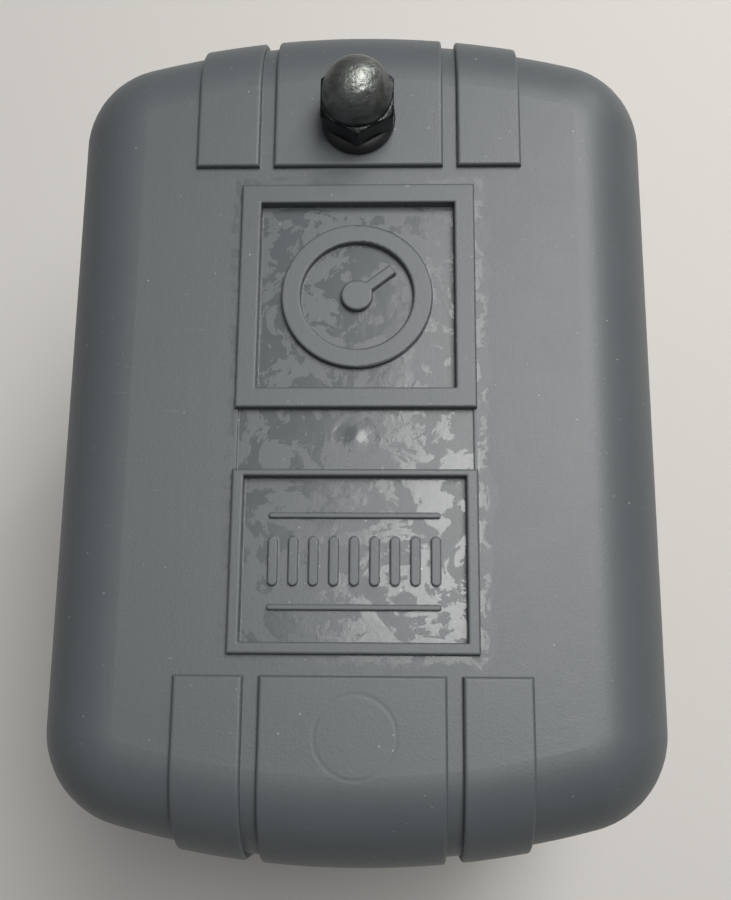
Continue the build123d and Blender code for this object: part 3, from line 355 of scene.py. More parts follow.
@dataclass(frozen=True)
class Moulded:
    """A moulded plastic or rubber without relief of its own."""

    name: str
    colour: Colour
    roughness: Pair
    grain: float = 0.3 * MM
    grain_depth: float = 0.006 * MM
    flow: float = 9 * MM        # size of the moulding's slow tone changes
    tone: float = 0.12          # how strong they are
    dust: float = 0.1
    dust_colour: Colour = (0.35, 0.34, 0.32)
    edge: float = 0.15 * MM

    def make(self) -> bpy.types.Material:
        """Builds the material."""
        g = NodeGraph(self.name)
        normal, edge = g.edges(self.edge)
        flow = g.noise(self.flow, 4, 0.6, 0.8)
        skin = g.noise(self.grain, 3, 0.6)
        specks = g.noise(0.55 * MM, 1, 0.4).step(0.74, 0.8)
        dusty = g.noise(5 * MM, 5, 0.7, 0.5).step(0.45, 0.75)
        light = tint(self.colour, 1 + self.tone)
        dark = tint(self.colour, 1 - self.tone)
        colour = g.mix(flow.step(0.3, 0.7), dark, light)
        dust = (dusty * self.dust * 0.5 + specks * self.dust + edge * self.dust * 0.6).least(1.0)
        colour = g.mix(dust, colour, self.dust_colour)
        rough = (flow * 0.4 + skin * 0.6).fit(*self.roughness) + dusty * (self.dust * 0.4)
        return g.finish(Base_Color=colour, Roughness=rough, Normal=g.bump(skin, self.grain_depth, normal))


@dataclass(frozen=True)
class CoverPlastic:
    """The cover's grey plastic: matte, but polished in the sunk panels and beside the frames."""

    name: str = "cover_plastic"
    colour: Colour = (0.069, 0.079, 0.085)
    panel_half: float = 14.0 * MM
    panel_front: float = -28.7 * MM
    panel_rear: float = 27.4 * MM
    top: float = 86.0 * MM      # the cover's flat top between the pads
    gate: Pair = (0.0, -3.9 * MM)
    ring: Pair = (0.3 * MM, -37.5 * MM)
    ring_radius: float = 4.5 * MM

    def make(self) -> bpy.types.Material:
        """Builds the material."""
        g = NodeGraph(self.name)
        x, y, z = g.axes()
        ragged = g.noise(5.5 * MM, 5, 0.62, 1.4)
        fine = g.noise(1.6 * MM, 4, 0.6, 0.6)
        centre_y = (self.panel_front + self.panel_rear) / 2
        half_y = (self.panel_rear - self.panel_front) / 2
        outside = (abs(x) - self.panel_half).most(abs(y - centre_y) - half_y)
        within = outside.step(0.05 * MM, -0.05 * MM)
        above = z.step(self.top - 1.3 * MM, self.top - 1.1 * MM)
        sunk = within * above * z.step(self.top - 0.12 * MM, self.top - 0.22 * MM)
        beside = outside.step(0.9 * MM, 0.2 * MM) * (1 - within)
        margin = (outside + (ragged - 0.5) * (5.5 * MM)).step(1.6 * MM, 1.2 * MM) * (1 - within)
        margin = (margin * 0.8).most(beside) * above
        scratch = g.noise(1.0, 4, 0.7, at=g.stretched((900, 260, 300), -28))
        patches = (ragged * 0.7 + fine * 0.14 + scratch * 0.16).step(0.5, 0.512)
        polish = (sunk * (0.22 + patches * 0.78)).most(margin * (0.12 + patches * 0.6))
        grain = g.noise(0.3 * MM, 3, 0.62)
        peel = g.noise(0.85 * MM, 3, 0.55, 0.5)
        slow = g.noise(16 * MM, 3, 0.5, 0.4)
        cloud = g.noise(4.0 * MM, 5, 0.65)
        drag = g.noise(1.0, 3, 0.6, at=g.stretched((1500, 95, 300), 3))
        specks = g.noise(0.42 * MM, 0.0, 0.3).step(0.855, 0.875)
        scuffs = g.noise(1.0, 2, 0.5, at=g.stretched((190, 4600, 900), 38)).step(0.715, 0.76)
        scuffs = scuffs * g.noise(13 * MM, 2, 0.5).step(0.5, 0.62)
        eased, edge = g.edges(0.25 * MM)
        colour = g.mix((slow * 0.45 + cloud * 0.35 + grain * 0.3).fit(0.0, 1.0), tint(self.colour, 0.9),
                       tint(self.colour, 1.1))
        colour = g.mix(specks * 0.4 + scuffs * 0.12 + edge * 0.07, colour, (0.42, 0.43, 0.43))
        gloss = polish.least(1.0)
        rough = (grain * 0.5 + cloud * 0.5).fit(0.38, 0.52) * (1 - gloss) + gloss * (0.15 + fine * 0.07)
        normal = g.bump(grain, 0.019 * MM, eased)
        normal = g.bump(drag * 0.5 + peel * 0.5, 0.012 * MM, normal)
        smooth = g.bump(peel * 0.2 + fine * 0.5 + slow * 1.5, 0.035 * MM, eased)
        blend = g.node("ShaderNodeMix", {"data_type": "VECTOR"}, {0: gloss, 4: normal, 5: smooth}, output=1)
        marks = self.marks(g, x, y, above)
        return g.finish(Base_Color=colour, Roughness=rough, Normal=g.bump(marks, 0.14 * MM, blend))

    def marks(self, g: NodeGraph, x: Signal, y: Signal, above: Signal) -> Signal:
        """The mould's own marks on the top.

        Args:
            g: The material's graph.
            x: The X coordinate.
            y: The Y coordinate.
            above: 1 on the cover's top.

        Returns:
            The height of the gate's mark with its ring, and of an ejector's faint ring.
        """
        def distance(centre: Pair) -> Signal:
            """How far a place is from a centre, in plan."""
            dx, dy = x - centre[0], y - centre[1]
            return g.math("SQRT", dx * dx + dy * dy)

        gate = distance(self.gate)
        stub = gate.step(1.5 * MM, 0.0)
        groove = abs(gate - 2.1 * MM).step(0.9 * MM, 0.1 * MM)
        witness = abs(distance(self.ring) - self.ring_radius).step(0.4 * MM, 0.02 * MM)
        return (stub * 0.55 - groove * 0.06 - witness * 0.1) * above


@dataclass(frozen=True)
class WornNutWithPaintedLight:
    """The cap nut's dull zinc: a worn, hammered dome over a hexagon painted nearly black and glossy as
    painted shade, for the dark surroundings that it reflects, with a painted highlight along the hexagon's
    lower edges.
    """

    name: str = "zinc_dark"
    dome: Colour = (0.215, 0.225, 0.22)
    stain: Colour = (0.12, 0.125, 0.115)
    # painted shade: the near-black colour of the hexagon, standing in for the dark surroundings that it
    # reflects
    hex_shade_colour: Colour = (0.022, 0.023, 0.024)
    hex_shade_top: float = 92.6 * MM          # the painted shade on the hexagon fades out at this height
    foot: float = 88.8 * MM             # the hexagon's underside

    def make(self) -> bpy.types.Material:
        """Builds the material."""
        g = NodeGraph(self.name)
        _, _, z = g.axes()
        normal, edge = g.edges(0.22 * MM)
        cloud = g.noise(2.2 * MM, 4, 0.6, 0.7)
        skin = g.noise(0.45 * MM, 4, 0.65)
        dents = g.noise(1.0 * MM, 3, 0.55, 0.3)
        nicks = g.noise(1.0, 2, 0.5, at=g.stretched((500, 2600, 900), 24)).step(0.68, 0.74)
        # painted shade: 1 on the hexagon below the dome, which is painted nearly black, fading out upwards
        # with a ragged edge
        hex_shade = (z + (cloud - 0.5) * (1.6 * MM)).step(self.hex_shade_top, self.hex_shade_top - 1.0 * MM)
        # painted highlight: a band just above the hexagon's underside, where a bright line is painted on its
        # edges
        foot_glint = z.step(self.foot + 0.28 * MM, self.foot + 0.1 * MM)
        colour = g.mix(cloud.step(0.35, 0.65), self.dome, self.stain)
        colour = g.mix(nicks * 0.3, colour, (0.5, 0.5, 0.48))
        # painted shade over the hexagon
        colour = g.mix(hex_shade, colour, self.hex_shade_colour)
        # worn lighter edges on the dome, and a painted highlight along the hexagon's lower edges
        colour = g.mix((edge * 0.3 * (1 - hex_shade) + foot_glint * edge).least(1.0), colour, (0.62, 0.62, 0.6))
        rough = (skin * 0.6 + cloud * 0.4).fit(0.3, 0.5) * (1 - hex_shade) + hex_shade * (0.16 + skin * 0.1)
        normal = g.bump(skin, 0.045 * MM, normal)
        depth = g.bump(dents * (1 - hex_shade * 0.8), 0.16 * MM, normal)
        return g.finish(Base_Color=colour, Roughness=rough, Metallic=0.95, Normal=depth)


FINISHES = {
    "cover_plastic": CoverPlastic(),
    "zinc_dark": WornNutWithPaintedLight(),
    "rubber_black": Moulded("rubber_black", (0.016, 0.016, 0.017), (0.5, 0.68), grain=0.22 * MM, tone=0.25,
                            dust=0.07),
    "zinc_steel": Metal("zinc_steel", (0.53, 0.535, 0.53), (0.49, 0.5, 0.505), (0.3, 0.46), patch=2.6 * MM,
                        streak=0.55, streak_scale=(1500, 60, 1500), grain=0.18 * MM, grime=0.12),
    "cast_zinc": Metal("cast_zinc", (0.42, 0.425, 0.43), (0.37, 0.375, 0.38), (0.42, 0.6), patch=3 * MM,
                       grain=0.5 * MM, grain_depth=0.05 * MM, dent=2.4 * MM, dent_depth=0.05 * MM, streak=0.0,
                       worn=0.3, edge=0.25 * MM, grime=0.25),
    "zinc_bright": Metal("zinc_bright", (0.66, 0.655, 0.63), (0.6, 0.6, 0.52), (0.2, 0.36), patch=3 * MM,
                         streak=0.25, grime=0.2, edge=0.15 * MM),
    "cream_plastic": Moulded("cream_plastic", (0.72, 0.67, 0.55), (0.35, 0.5), tone=0.06, dust=0.12,
                             dust_colour=(0.3, 0.26, 0.2)),
    "hard_steel": Metal("hard_steel", (0.36, 0.355, 0.35), (0.28, 0.27, 0.26), (0.18, 0.34), patch=2.5 * MM,
                        streak=0.3, grime=0.4),
    "black_plastic": Moulded("black_plastic", (0.02, 0.02, 0.0215), (0.3, 0.48), grain=0.4 * MM, tone=0.3,
                             dust=0.06),
    "brass": Metal("brass", (0.78, 0.56, 0.24), (0.66, 0.43, 0.16), (0.2, 0.38), patch=4 * MM, streak=0.4,
                   grime=0.35),
    "silver_contact": Metal("silver_contact", (0.84, 0.83, 0.8), (0.7, 0.68, 0.64), (0.24, 0.4),
                            patch=1.5 * MM, streak=0.15, grime=0.35),
    "spring_steel": Metal("spring_steel", (0.47, 0.47, 0.465), (0.37, 0.37, 0.36), (0.2, 0.36), patch=3 * MM,
                          streak=0.2, grime=0.35, edge=0.05 * MM),
    "green_screw": Metal("green_screw", (0.07, 0.34, 0.12), (0.1, 0.28, 0.07), (0.24, 0.42), patch=2 * MM,
                         streak=0.2, worn=0.45, grime=0.3),
}


class FinishShop:
    """Makes each finish once and puts it on CAD nodes and new pieces."""

    def __init__(self) -> None:
        """Makes the finishes."""
        self.materials = {slot: finish.make() for slot, finish in FINISHES.items()}

    def dress_frame(self) -> None:
        """Gives every CAD node the finish that its record names."""
        for part in frame["record"]["subparts"]:
            node = frame["nodes"][part["node"]]
            for slot in node.material_slots:
                slot.material = self.materials[part["material_slot"]]

    def dress(self, piece: Piece, slot: str) -> None:
        """Finishes a new piece.

        Args:
            piece: The piece.
            slot: The record's material slot.
        """
        piece.data.materials.clear()
        piece.data.materials.append(self.materials[slot])

    def fit(self, piece: Piece, slot: str, node: str, body: str) -> None:
        """Finishes a rigid piece and puts it in a CAD node's place.

        Args:
            piece: The piece.
            slot: The record's material slot.
            node: The CAD node that it stands for.
            body: The body that it rides on.
        """
        self.dress(piece, slot)
        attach(piece, body)
        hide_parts(node)
        log.info("%s stands for %s", piece.name, node)


# ----- modelling by hand

class Cut(Enum):
    """How one closed shape is cut or joined with another."""

    JOIN = "UNION"
    AWAY = "DIFFERENCE"
    COMMON = "INTERSECT"


class Bench:
    """The modelling steps that the pieces share."""

    @staticmethod
    def alone(piece: Piece) -> None:
        """Selects one piece and makes it active."""
        bpy.ops.object.select_all(action="DESELECT")
        piece.select_set(True)
        bpy.context.view_layer.objects.active = piece

    @staticmethod
    def edit(piece: Piece) -> None:
        """Opens a piece in edit mode with everything selected."""
        Bench.alone(piece)
        bpy.ops.object.mode_set(mode="EDIT")
        bpy.ops.mesh.select_mode(type="VERT")
        bpy.ops.mesh.select_all(action="SELECT")

    @staticmethod
    def close() -> None:
        """Merges doubles, turns the faces outwards and leaves edit mode."""
        bpy.ops.mesh.select_all(action="SELECT")
        bpy.ops.mesh.remove_doubles(threshold=MERGE)
        bpy.ops.mesh.normals_make_consistent(inside=False)
        bpy.ops.object.mode_set(mode="OBJECT")

    @staticmethod
    def draw(name: str, profile: Profile) -> Piece:
        """Draws a profile as a chain of edges in the XZ plane, left open in edit mode.

        Args:
            name: The piece's name.
            profile: Radius and height of each point, in millimetres.

        Returns:
            The piece.
        """
        bpy.ops.mesh.primitive_plane_add(size=MM, location=(0, 0, 0))
        piece = bpy.context.object
        piece.name = name
        Bench.edit(piece)
        bpy.ops.mesh.merge(type="CENTER")
        bpy.ops.transform.translate(value=(profile[0][0] * MM, 0, profile[0][1] * MM))
        for (r0, z0), (r1, z1) in zip(profile, profile[1:]):
            move = ((r1 - r0) * MM, 0, (z1 - z0) * MM)
            bpy.ops.mesh.extrude_region_move(TRANSFORM_OT_translate={"value": move})
        return piece

    @staticmethod
    def lathe(name: str, profile: Profile, steps: int,
              centre: Pair = (0, 0)) -> Piece:
        """Turns a profile about an upright axis.

        Args:
            name: The piece's name.
            profile: Radius and height of each point, in millimetres; closed where it comes back to its start.
            steps: How many steps a whole turn has.
            centre: The axis in plan, in millimetres.

        Returns:
            The turned piece.
        """
        piece = Bench.draw(name, profile)
        bpy.ops.mesh.select_all(action="SELECT")
        bpy.ops.mesh.remove_doubles(threshold=MERGE)
        bpy.ops.mesh.spin(steps=steps, angle=2 * pi, center=(0, 0, 0), axis=(0, 0, 1))
        Bench.close()
        return Bench.settle(piece, (*centre, 0))

    @staticmethod
    def settle(piece: Piece, place: Point) -> Piece:
        """Moves a piece and puts its place into its mesh.

        Args:
            piece: The piece.
            place: How far it moves, in millimetres.

        Returns:
            The same piece, at the origin.
        """
        Bench.alone(piece)
        piece.location = Vector(place) * MM
        bpy.ops.object.transform_apply(location=True, rotation=True, scale=True)
        return piece

    @staticmethod
    def apply(piece: Piece, kind: str, **settings: object) -> None:
        """Adds a modifier and applies it.

        Args:
            piece: The piece.
            kind: The modifier's type.
            settings: Its settings.
        """
        Bench.alone(piece)
        modifier = piece.modifiers.new(kind, kind)
        for key, value in settings.items():
            setattr(modifier, key, value)
        bpy.ops.object.modifier_apply(modifier=modifier.name)

    @staticmethod
    def combine(piece: Piece, other: Piece, cut: Cut) -> Piece:
        """Cuts or joins a piece with another, which is used up.

        Args:
            piece: The piece that stays.
            other: The other piece.
            cut: Whether the other piece is joined on, cut away, or only what both share stays.

        Returns:
            The piece.
        """
        Bench.apply(piece, "BOOLEAN", operation=cut.value, object=other, solver="EXACT")
        bpy.data.objects.remove(other)
        return piece

    @staticmethod
    def join(pieces: Sequence[Piece], name: str) -> Piece:
        """Makes one object of several, under a name."""
        Bench.alone(pieces[0])
        for piece in pieces:
            piece.select_set(True)
        bpy.ops.object.join()
        pieces[0].name = name
        return pieces[0]

    @staticmethod
    def soften(piece: Piece, width: float, segments: int) -> None:
        """Rounds a piece's sharp edges.

        Args:
            piece: The piece.
            width: The rounding, in millimetres.
            segments: Its segments.
        """
        Bench.apply(piece, "BEVEL", width=width * MM, segments=segments, limit_method="ANGLE",
                    angle_limit=radians(SHARP), use_clamp_overlap=True, harden_normals=False)

    @staticmethod
    def smooth(piece: Piece, angle: float = 32) -> Piece:
        """Shades a piece smooth up to an angle."""
        Bench.alone(piece)
        bpy.ops.object.shade_smooth_by_angle(angle=radians(angle))
        return piece

    @staticmethod
    def grind(piece: Piece, low: float, high: float) -> None:
        """Grinds a closed piece's ends flat, so that only what lies between two heights stays.

        Args:
            piece: The piece.
            low: The height of the lower flat, in millimetres.
            high: The height of the upper flat.
        """
        bpy.ops.mesh.primitive_cube_add(size=1, location=(0, 0, (low + high) / 2 * MM))
        block = bpy.context.object
        block.scale = (GRIND_WIDTH * MM, GRIND_WIDTH * MM, (high - low) * MM)
        bpy.ops.object.transform_apply(location=True, rotation=True, scale=True)
        Bench.combine(piece, block, Cut.COMMON)

    @staticmethod
    def hexagon(name: str, flats: float, low: float, high: float) -> Piece:
        """An upright hexagonal prism about the origin, with corners towards +Y and -Y.

        Args:
            name: Its name.
            flats: Its width across the flats, in millimetres.
            low: The height of its underside.
            high: The height of its top.

        Returns:
            The prism.
        """
        bpy.ops.mesh.primitive_cylinder_add(vertices=6, radius=flats / 2 / cos(radians(30)) * MM,
                                            depth=(high - low) * MM, location=(0, 0, 0))
        piece = bpy.context.object
        piece.name = name
        return Bench.settle(piece, (0, 0, (low + high) / 2))

    @staticmethod
    def turn_down(body: Piece, low: float, high: float, inset: float, slope: float) -> None:
        """Turns a nut's hexagonal corners down at both ends.

        Args:
            body: The nut's prism.
            low: The height of its underside, in millimetres.
            high: The height of its top.
            inset: How far inside the flats the cut starts.
            slope: The cut's slope, in degrees.
        """
        corner = NUT_FLATS / 2 / cos(radians(30))
        face = NUT_FLATS / 2 - inset
        drop = (corner - NUT_FLATS / 2 + inset) * tan(radians(slope))
        profile = [(0, low - 0.01), (face, low - 0.01), (corner + 0.02, low + drop),
                   (corner + 0.02, high - drop), (face, high + 0.01), (0, high + 0.01)]
        barrel = Bench.lathe("barrel", profile, 72)
        Bench.combine(body, barrel, Cut.COMMON)

    @staticmethod
    def thread(name: str, crest: float, low: float, high: float, pitch: float,
               steps: int = 28) -> Piece:
        """A threaded rod about the origin, with flat ends.

        Args:
            name: Its name.
            crest: The radius at the thread's crests, in millimetres.
            low: The height of its lower end.
            high: The height of its upper end.
            pitch: The thread's pitch.
            steps: Steps for each turn.

        Returns:
            The rod.
        """
        root = crest - 0.6 * pitch
        start = low - 1.2 * pitch
        turns = int((high - start) / pitch) + 2
        flank = 0.44 * pitch
        piece = Bench.draw(name, [(root, start), (crest, start + flank), (crest, start + pitch - flank),
                                  (root, start + pitch)])
        bpy.ops.object.mode_set(mode="OBJECT")
        Bench.apply(piece, "SCREW", axis="Z", angle=2 * pi, screw_offset=pitch * MM, iterations=turns,
                    steps=steps, render_steps=steps, use_merge_vertices=True, merge_threshold=MERGE,
                    use_smooth_shade=False)
        Bench.edit(piece)
        bpy.ops.mesh.remove_doubles(threshold=MERGE)
        bpy.ops.mesh.select_all(action="SELECT")
        bpy.ops.mesh.fill_holes(sides=0)
        Bench.close()
        Bench.grind(piece, low, high)
        return piece


@dataclass
class WireForm:
    """A bent round wire: its centre line and its thickness, in millimetres."""

    name: str
    line: Sequence[Point]
    radius: float
    sides: int = 3

    def bend(self) -> Piece:
        """Bends the wire along its centre line and makes it a mesh.

        Returns:
            The wire, with closed ends.
        """
        bpy.ops.curve.primitive_nurbs_path_add(location=(0, 0, 0))
        wire = bpy.context.object
        wire.name = self.name
        curve = wire.data
        curve.splines.clear()
        spline = curve.splines.new("NURBS")
        spline.points.add(len(self.line) - 1)
        for point, place in zip(spline.points, self.line):
            point.co = (*(Vector(place) * MM), 1.0)
        spline.order_u = 4
        spline.use_endpoint_u = True
        spline.resolution_u = 2
        curve.bevel_depth = self.radius * MM
        curve.bevel_resolution = self.sides
        curve.use_fill_caps = True
        Bench.alone(wire)
        bpy.ops.object.convert(target="MESH")
        made = bpy.context.object
        Bench.edit(made)
        Bench.close()
        return made


@dataclass
class CoilSpring:
    """A compression spring: closed end coils, open coils between them, all in millimetres."""

    name: str
    centre: Pair
    foot: float
    top: float
    radius: float
    wire: float
    turns: float
    ground: bool = True
    per_turn: int = 16

    def line(self) -> list[Point]:
        """The wire's centre line.

        Returns:
            Points from the foot to the top.
        """
        inset = 0.15 * self.wire if self.ground else 1.05 * self.wire
        low, high = self.foot + inset, self.top - inset
        dead = 2.06 * self.wire if self.ground else 1.2 * self.wire
        out = self.radius * 3 / (2 + cos(2 * pi / self.per_turn))
        count = int(self.turns * self.per_turn)
        points = []
        for i in range(count + 1):
            turn = i / self.per_turn
            if turn < 1:
                z = low + dead * turn
            elif turn > self.turns - 1:
                z = high - dead * (self.turns - turn)
            else:
                share = (turn - 1) / (self.turns - 2)
                z = low + dead + share * (high - low - 2 * dead)
            angle = 2 * pi * turn
            points.append((self.centre[0] + out * cos(angle), self.centre[1] + out * sin(angle), z))
        return points

    def build(self) -> Piece:
        """Winds the whole spring."""
        return self.wind(self.name, self.line())

    def wind(self, name: str, points: Sequence[Point]) -> Piece:
        """Bends a stretch of the wire and grinds its ends.

        Args:
            name: The piece's name.
            points: The stretch's centre line, in millimetres.

        Returns:
            The piece.
        """
        coils = WireForm(name, points, self.wire).bend()
        if self.ground:
            Bench.grind(coils, self.foot, self.top)
        return Bench.smooth(coils, 50)

    def build_halves(self) -> tuple[Piece, Piece]:
        """Winds the spring as two pieces that meet in its middle coil.

        Returns:
            The lower and the upper half.
        """
        line = self.line()
        middle = len(line) // 2
        lower = self.wind(f"{self.name}_lower", line[:middle + 2])
        upper = self.wind(f"{self.name}_upper", line[middle - 1:])
        return lower, upper

    def end(self, level: float) -> Point:
        """A point of the spring's axis at a height, in metres."""
        return (self.centre[0] * MM, self.centre[1] * MM, level * MM)


@dataclass
class SpringSet:
    """The five springs of the switch."""

    shop: FinishShop
    slot: str = "spring_steel"

    def build(self) -> None:
        """Winds every spring, finishes it and hides the CAD spring that it stands for."""
        large = CoilSpring("range_spring_coils", RANGE_AXIS, 28.63, 59.57, 7.8, 1.08, 7.5)
        self.stretch(large, "range_spring", "pressure_lever", "range_seat")
        small = CoilSpring("differential_spring_coils", DIFFERENTIAL_AXIS, 30.33, 48.27, 4.3, 0.6, 10.0)
        self.stretch(small, "differential_spring", "differential_lower_seat", "differential_seat")
        self.bridge_springs()
        self.toggle_spring()

    def stretch(self, spring: CoilSpring, node: str, low_body: str, high_body: str) -> None:
        """Winds a long spring as two halves that meet in its middle coil, finishes them and hides the CAD
        spring.

        Args:
            spring: The spring.
            node: The CAD node that it stands for.
            low_body: The body under its foot.
            high_body: The body above its top.
        """
        lower, upper = spring.build_halves()
        middle = spring.end((spring.foot + spring.top) / 2)
        for half, first, second, start, end in (
                (lower, low_body, "root", spring.end(spring.foot + 2 * spring.wire), middle),
                (upper, "root", high_body, middle, spring.end(spring.top - 2 * spring.wire))):
            self.shop.dress(half, self.slot)
            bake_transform(half)
            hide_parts(node)
            log.info("%s bends between %s and %s", half.name, first, second)

    def bridge_springs(self) -> None:
        """The two springs in the contact arm's wells."""
        for side, x in (("left", -12.7), ("right", 12.7)):
            name = f"bridge_spring_{side}"
            spring = CoilSpring(name, (x, -21.0), 45.03, 50.27, 2.3, 0.34, 5.0, ground=False)
            piece = spring.build()
            self.shop.dress(piece, self.slot)
            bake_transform(piece)
            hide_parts("bridge_springs")
            log.info("%s stands between its bridge and the arm", piece.name)

    def toggle_spring(self) -> None:
        """The extension spring between the lever's post and the arm's eye, with a loop at each end."""
        piece = WireForm("toggle_spring_coils", self.toggle_line(), 0.46).bend()
        Bench.smooth(piece, 50)
        self.shop.fit(piece, self.slot, "toggle_spring", "toggle_spring")

    @staticmethod
    def toggle_line() -> list[Point]:
        """The extension spring's centre line: a loop in the post, close coils, and a loop in the eye.

        Returns:
            Points from the post to the eye.
        """
        coil, loop = 2.1, 1.85
        rear, front = Vector((0, 14.0, 44.6)), Vector((0, -9.2, 45.9))
        along = (front - rear).normalized()
        up = Vector((0, along.z, -along.y))
        points = []
        centre = Vector((0, 16.7, 46.3))
        for i in range(11):
            angle = radians(150 - 30 * i)
            points.append(tuple(centre + loop * Vector((0.12 * (i - 5) / 5, cos(angle), sin(angle)))))
        turns, each = 13, 12
        for i in range(turns * each + 1):
            angle = 2 * pi * i / each
            place = rear + (front - rear) * (i / (turns * each))
            points.append(tuple(place + coil * (up * cos(angle) + Vector((1, 0, 0)) * sin(angle))))
        centre = front + along * (loop + 0.55)
        for i in range(11):
            angle = radians(200 - 30 * i)
            across = Vector((1, 0, 0)) * sin(angle) + along * cos(angle)
            points.append(tuple(centre + loop * across + up * (0.12 * (5 - i) / 5)))
        return points


@dataclass
class CoverFastening:
    """The domed cap nut over the range stud's tip, and its rubber washer."""

    shop: FinishShop
    washer_low: float = 86.8
    washer_radius: float = 4.5
    washer_height: float = 2.0
    washer_bore: float = 2.75
    washer_slip: float = 0.55   # how far the washer has slipped towards the front
    hex_height: float = 3.1
    height: float = 8.2
    dome: float = 4.1
    bore: float = 2.13
    bore_depth: float = 5.6

    def build(self) -> None:
        """Builds the nut and the washer."""
        self.shop.fit(self.nut(), "zinc_dark", "cap_nut", "cap_nut")
        self.shop.fit(self.washer(), "rubber_black", "nut_washer", "nut_washer")

    def nut(self) -> Piece:
        """The cap nut: a turned-down hexagon, a dome and a blind bore.

        Returns:
            The nut.
        """
        low = self.washer_low + self.washer_height
        top = low + self.hex_height
        spring_line = low + self.height - self.dome
        body = Bench.hexagon("acorn_nut", NUT_FLATS, low, top)
        Bench.soften(body, 0.22, 3)
        Bench.turn_down(body, low, top, 0.12, 32)
        arc = [(self.dome * cos(radians(a)), spring_line + self.dome * sin(radians(a)))
               for a in range(0, 90, 6)]
        neck = [(0, low + 1.2), (self.dome + 0.16, low + 1.2), (self.dome + 0.16, top - 0.1),
                (self.dome + 0.05, top + 0.1)]
        dome = Bench.lathe("dome", neck + arc + [(0, spring_line + self.dome)], 64)
        Bench.combine(body, dome, Cut.JOIN)
        bore = Bench.lathe("bore", [(0, low - 0.5), (self.bore + 0.5, low - 0.5), (self.bore, low + 0.35),
                                    (self.bore, low + self.bore_depth - 0.6), (0, low + self.bore_depth)], 40)
        Bench.combine(body, bore, Cut.AWAY)
        Bench.settle(body, (*RANGE_AXIS, 0))
        return Bench.smooth(body, 38)

    def washer(self) -> Piece:
        """The rubber washer, pressed out a little under the nut.

        Returns:
            The washer.
        """
        low, high = self.washer_low, self.washer_low + self.washer_height
        r = self.washer_radius
        inner = self.washer_bore
        profile = [(inner, low), (r - 0.35, low), (r - 0.1, low + 0.12), (r, low + 0.45),
                   (r + 0.04, low + 0.9), (r, low + 1.35), (r - 0.12, high - 0.3), (r - 0.38, high - 0.1),
                   (r - 0.7, high), (inner, high), (inner, low)]
        centre = (RANGE_AXIS[0], RANGE_AXIS[1] - self.washer_slip)
        return Bench.smooth(Bench.lathe("rubber_washer", profile, 64, centre), 50)


@dataclass
class PressureSeal:
    """The moulded rubber diaphragm between the flange and the tray."""

    shop: FinishShop
    low: float = 17.8
    high: float = 19.0
    radius: float = 23.0
    roll: float = 14.4          # radius of the moulded roll round the piston
    roll_depth: float = 0.5

    def build(self) -> None:
        """Builds the diaphragm and puts it in the CAD diaphragm's place."""
        self.shop.fit(self.diaphragm(), "rubber_black", "diaphragm", "root")

    def diaphragm(self) -> Piece:
        """A disc with a rolled groove round the piston, a flat clamping rim and eased edges.

        Returns:
            The diaphragm.
        """
        depth = self.roll_depth
        groove = [(self.roll + depth * sin(radians(a)), self.low + depth * cos(radians(a)))
                  for a in range(-90, 91, 15)]
        ease = 0.2
        profile = [(0, self.low), *groove, (self.radius - 3.0, self.low),
                   (self.radius - 2.8, self.low + 0.08), (self.radius - ease, self.low + 0.08),
                   (self.radius, self.low + 0.08 + ease), (self.radius, self.high - ease),
                   (self.radius - ease, self.high), (0, self.high)]
        return Bench.smooth(Bench.lathe("moulded_diaphragm", profile, 96), 35)


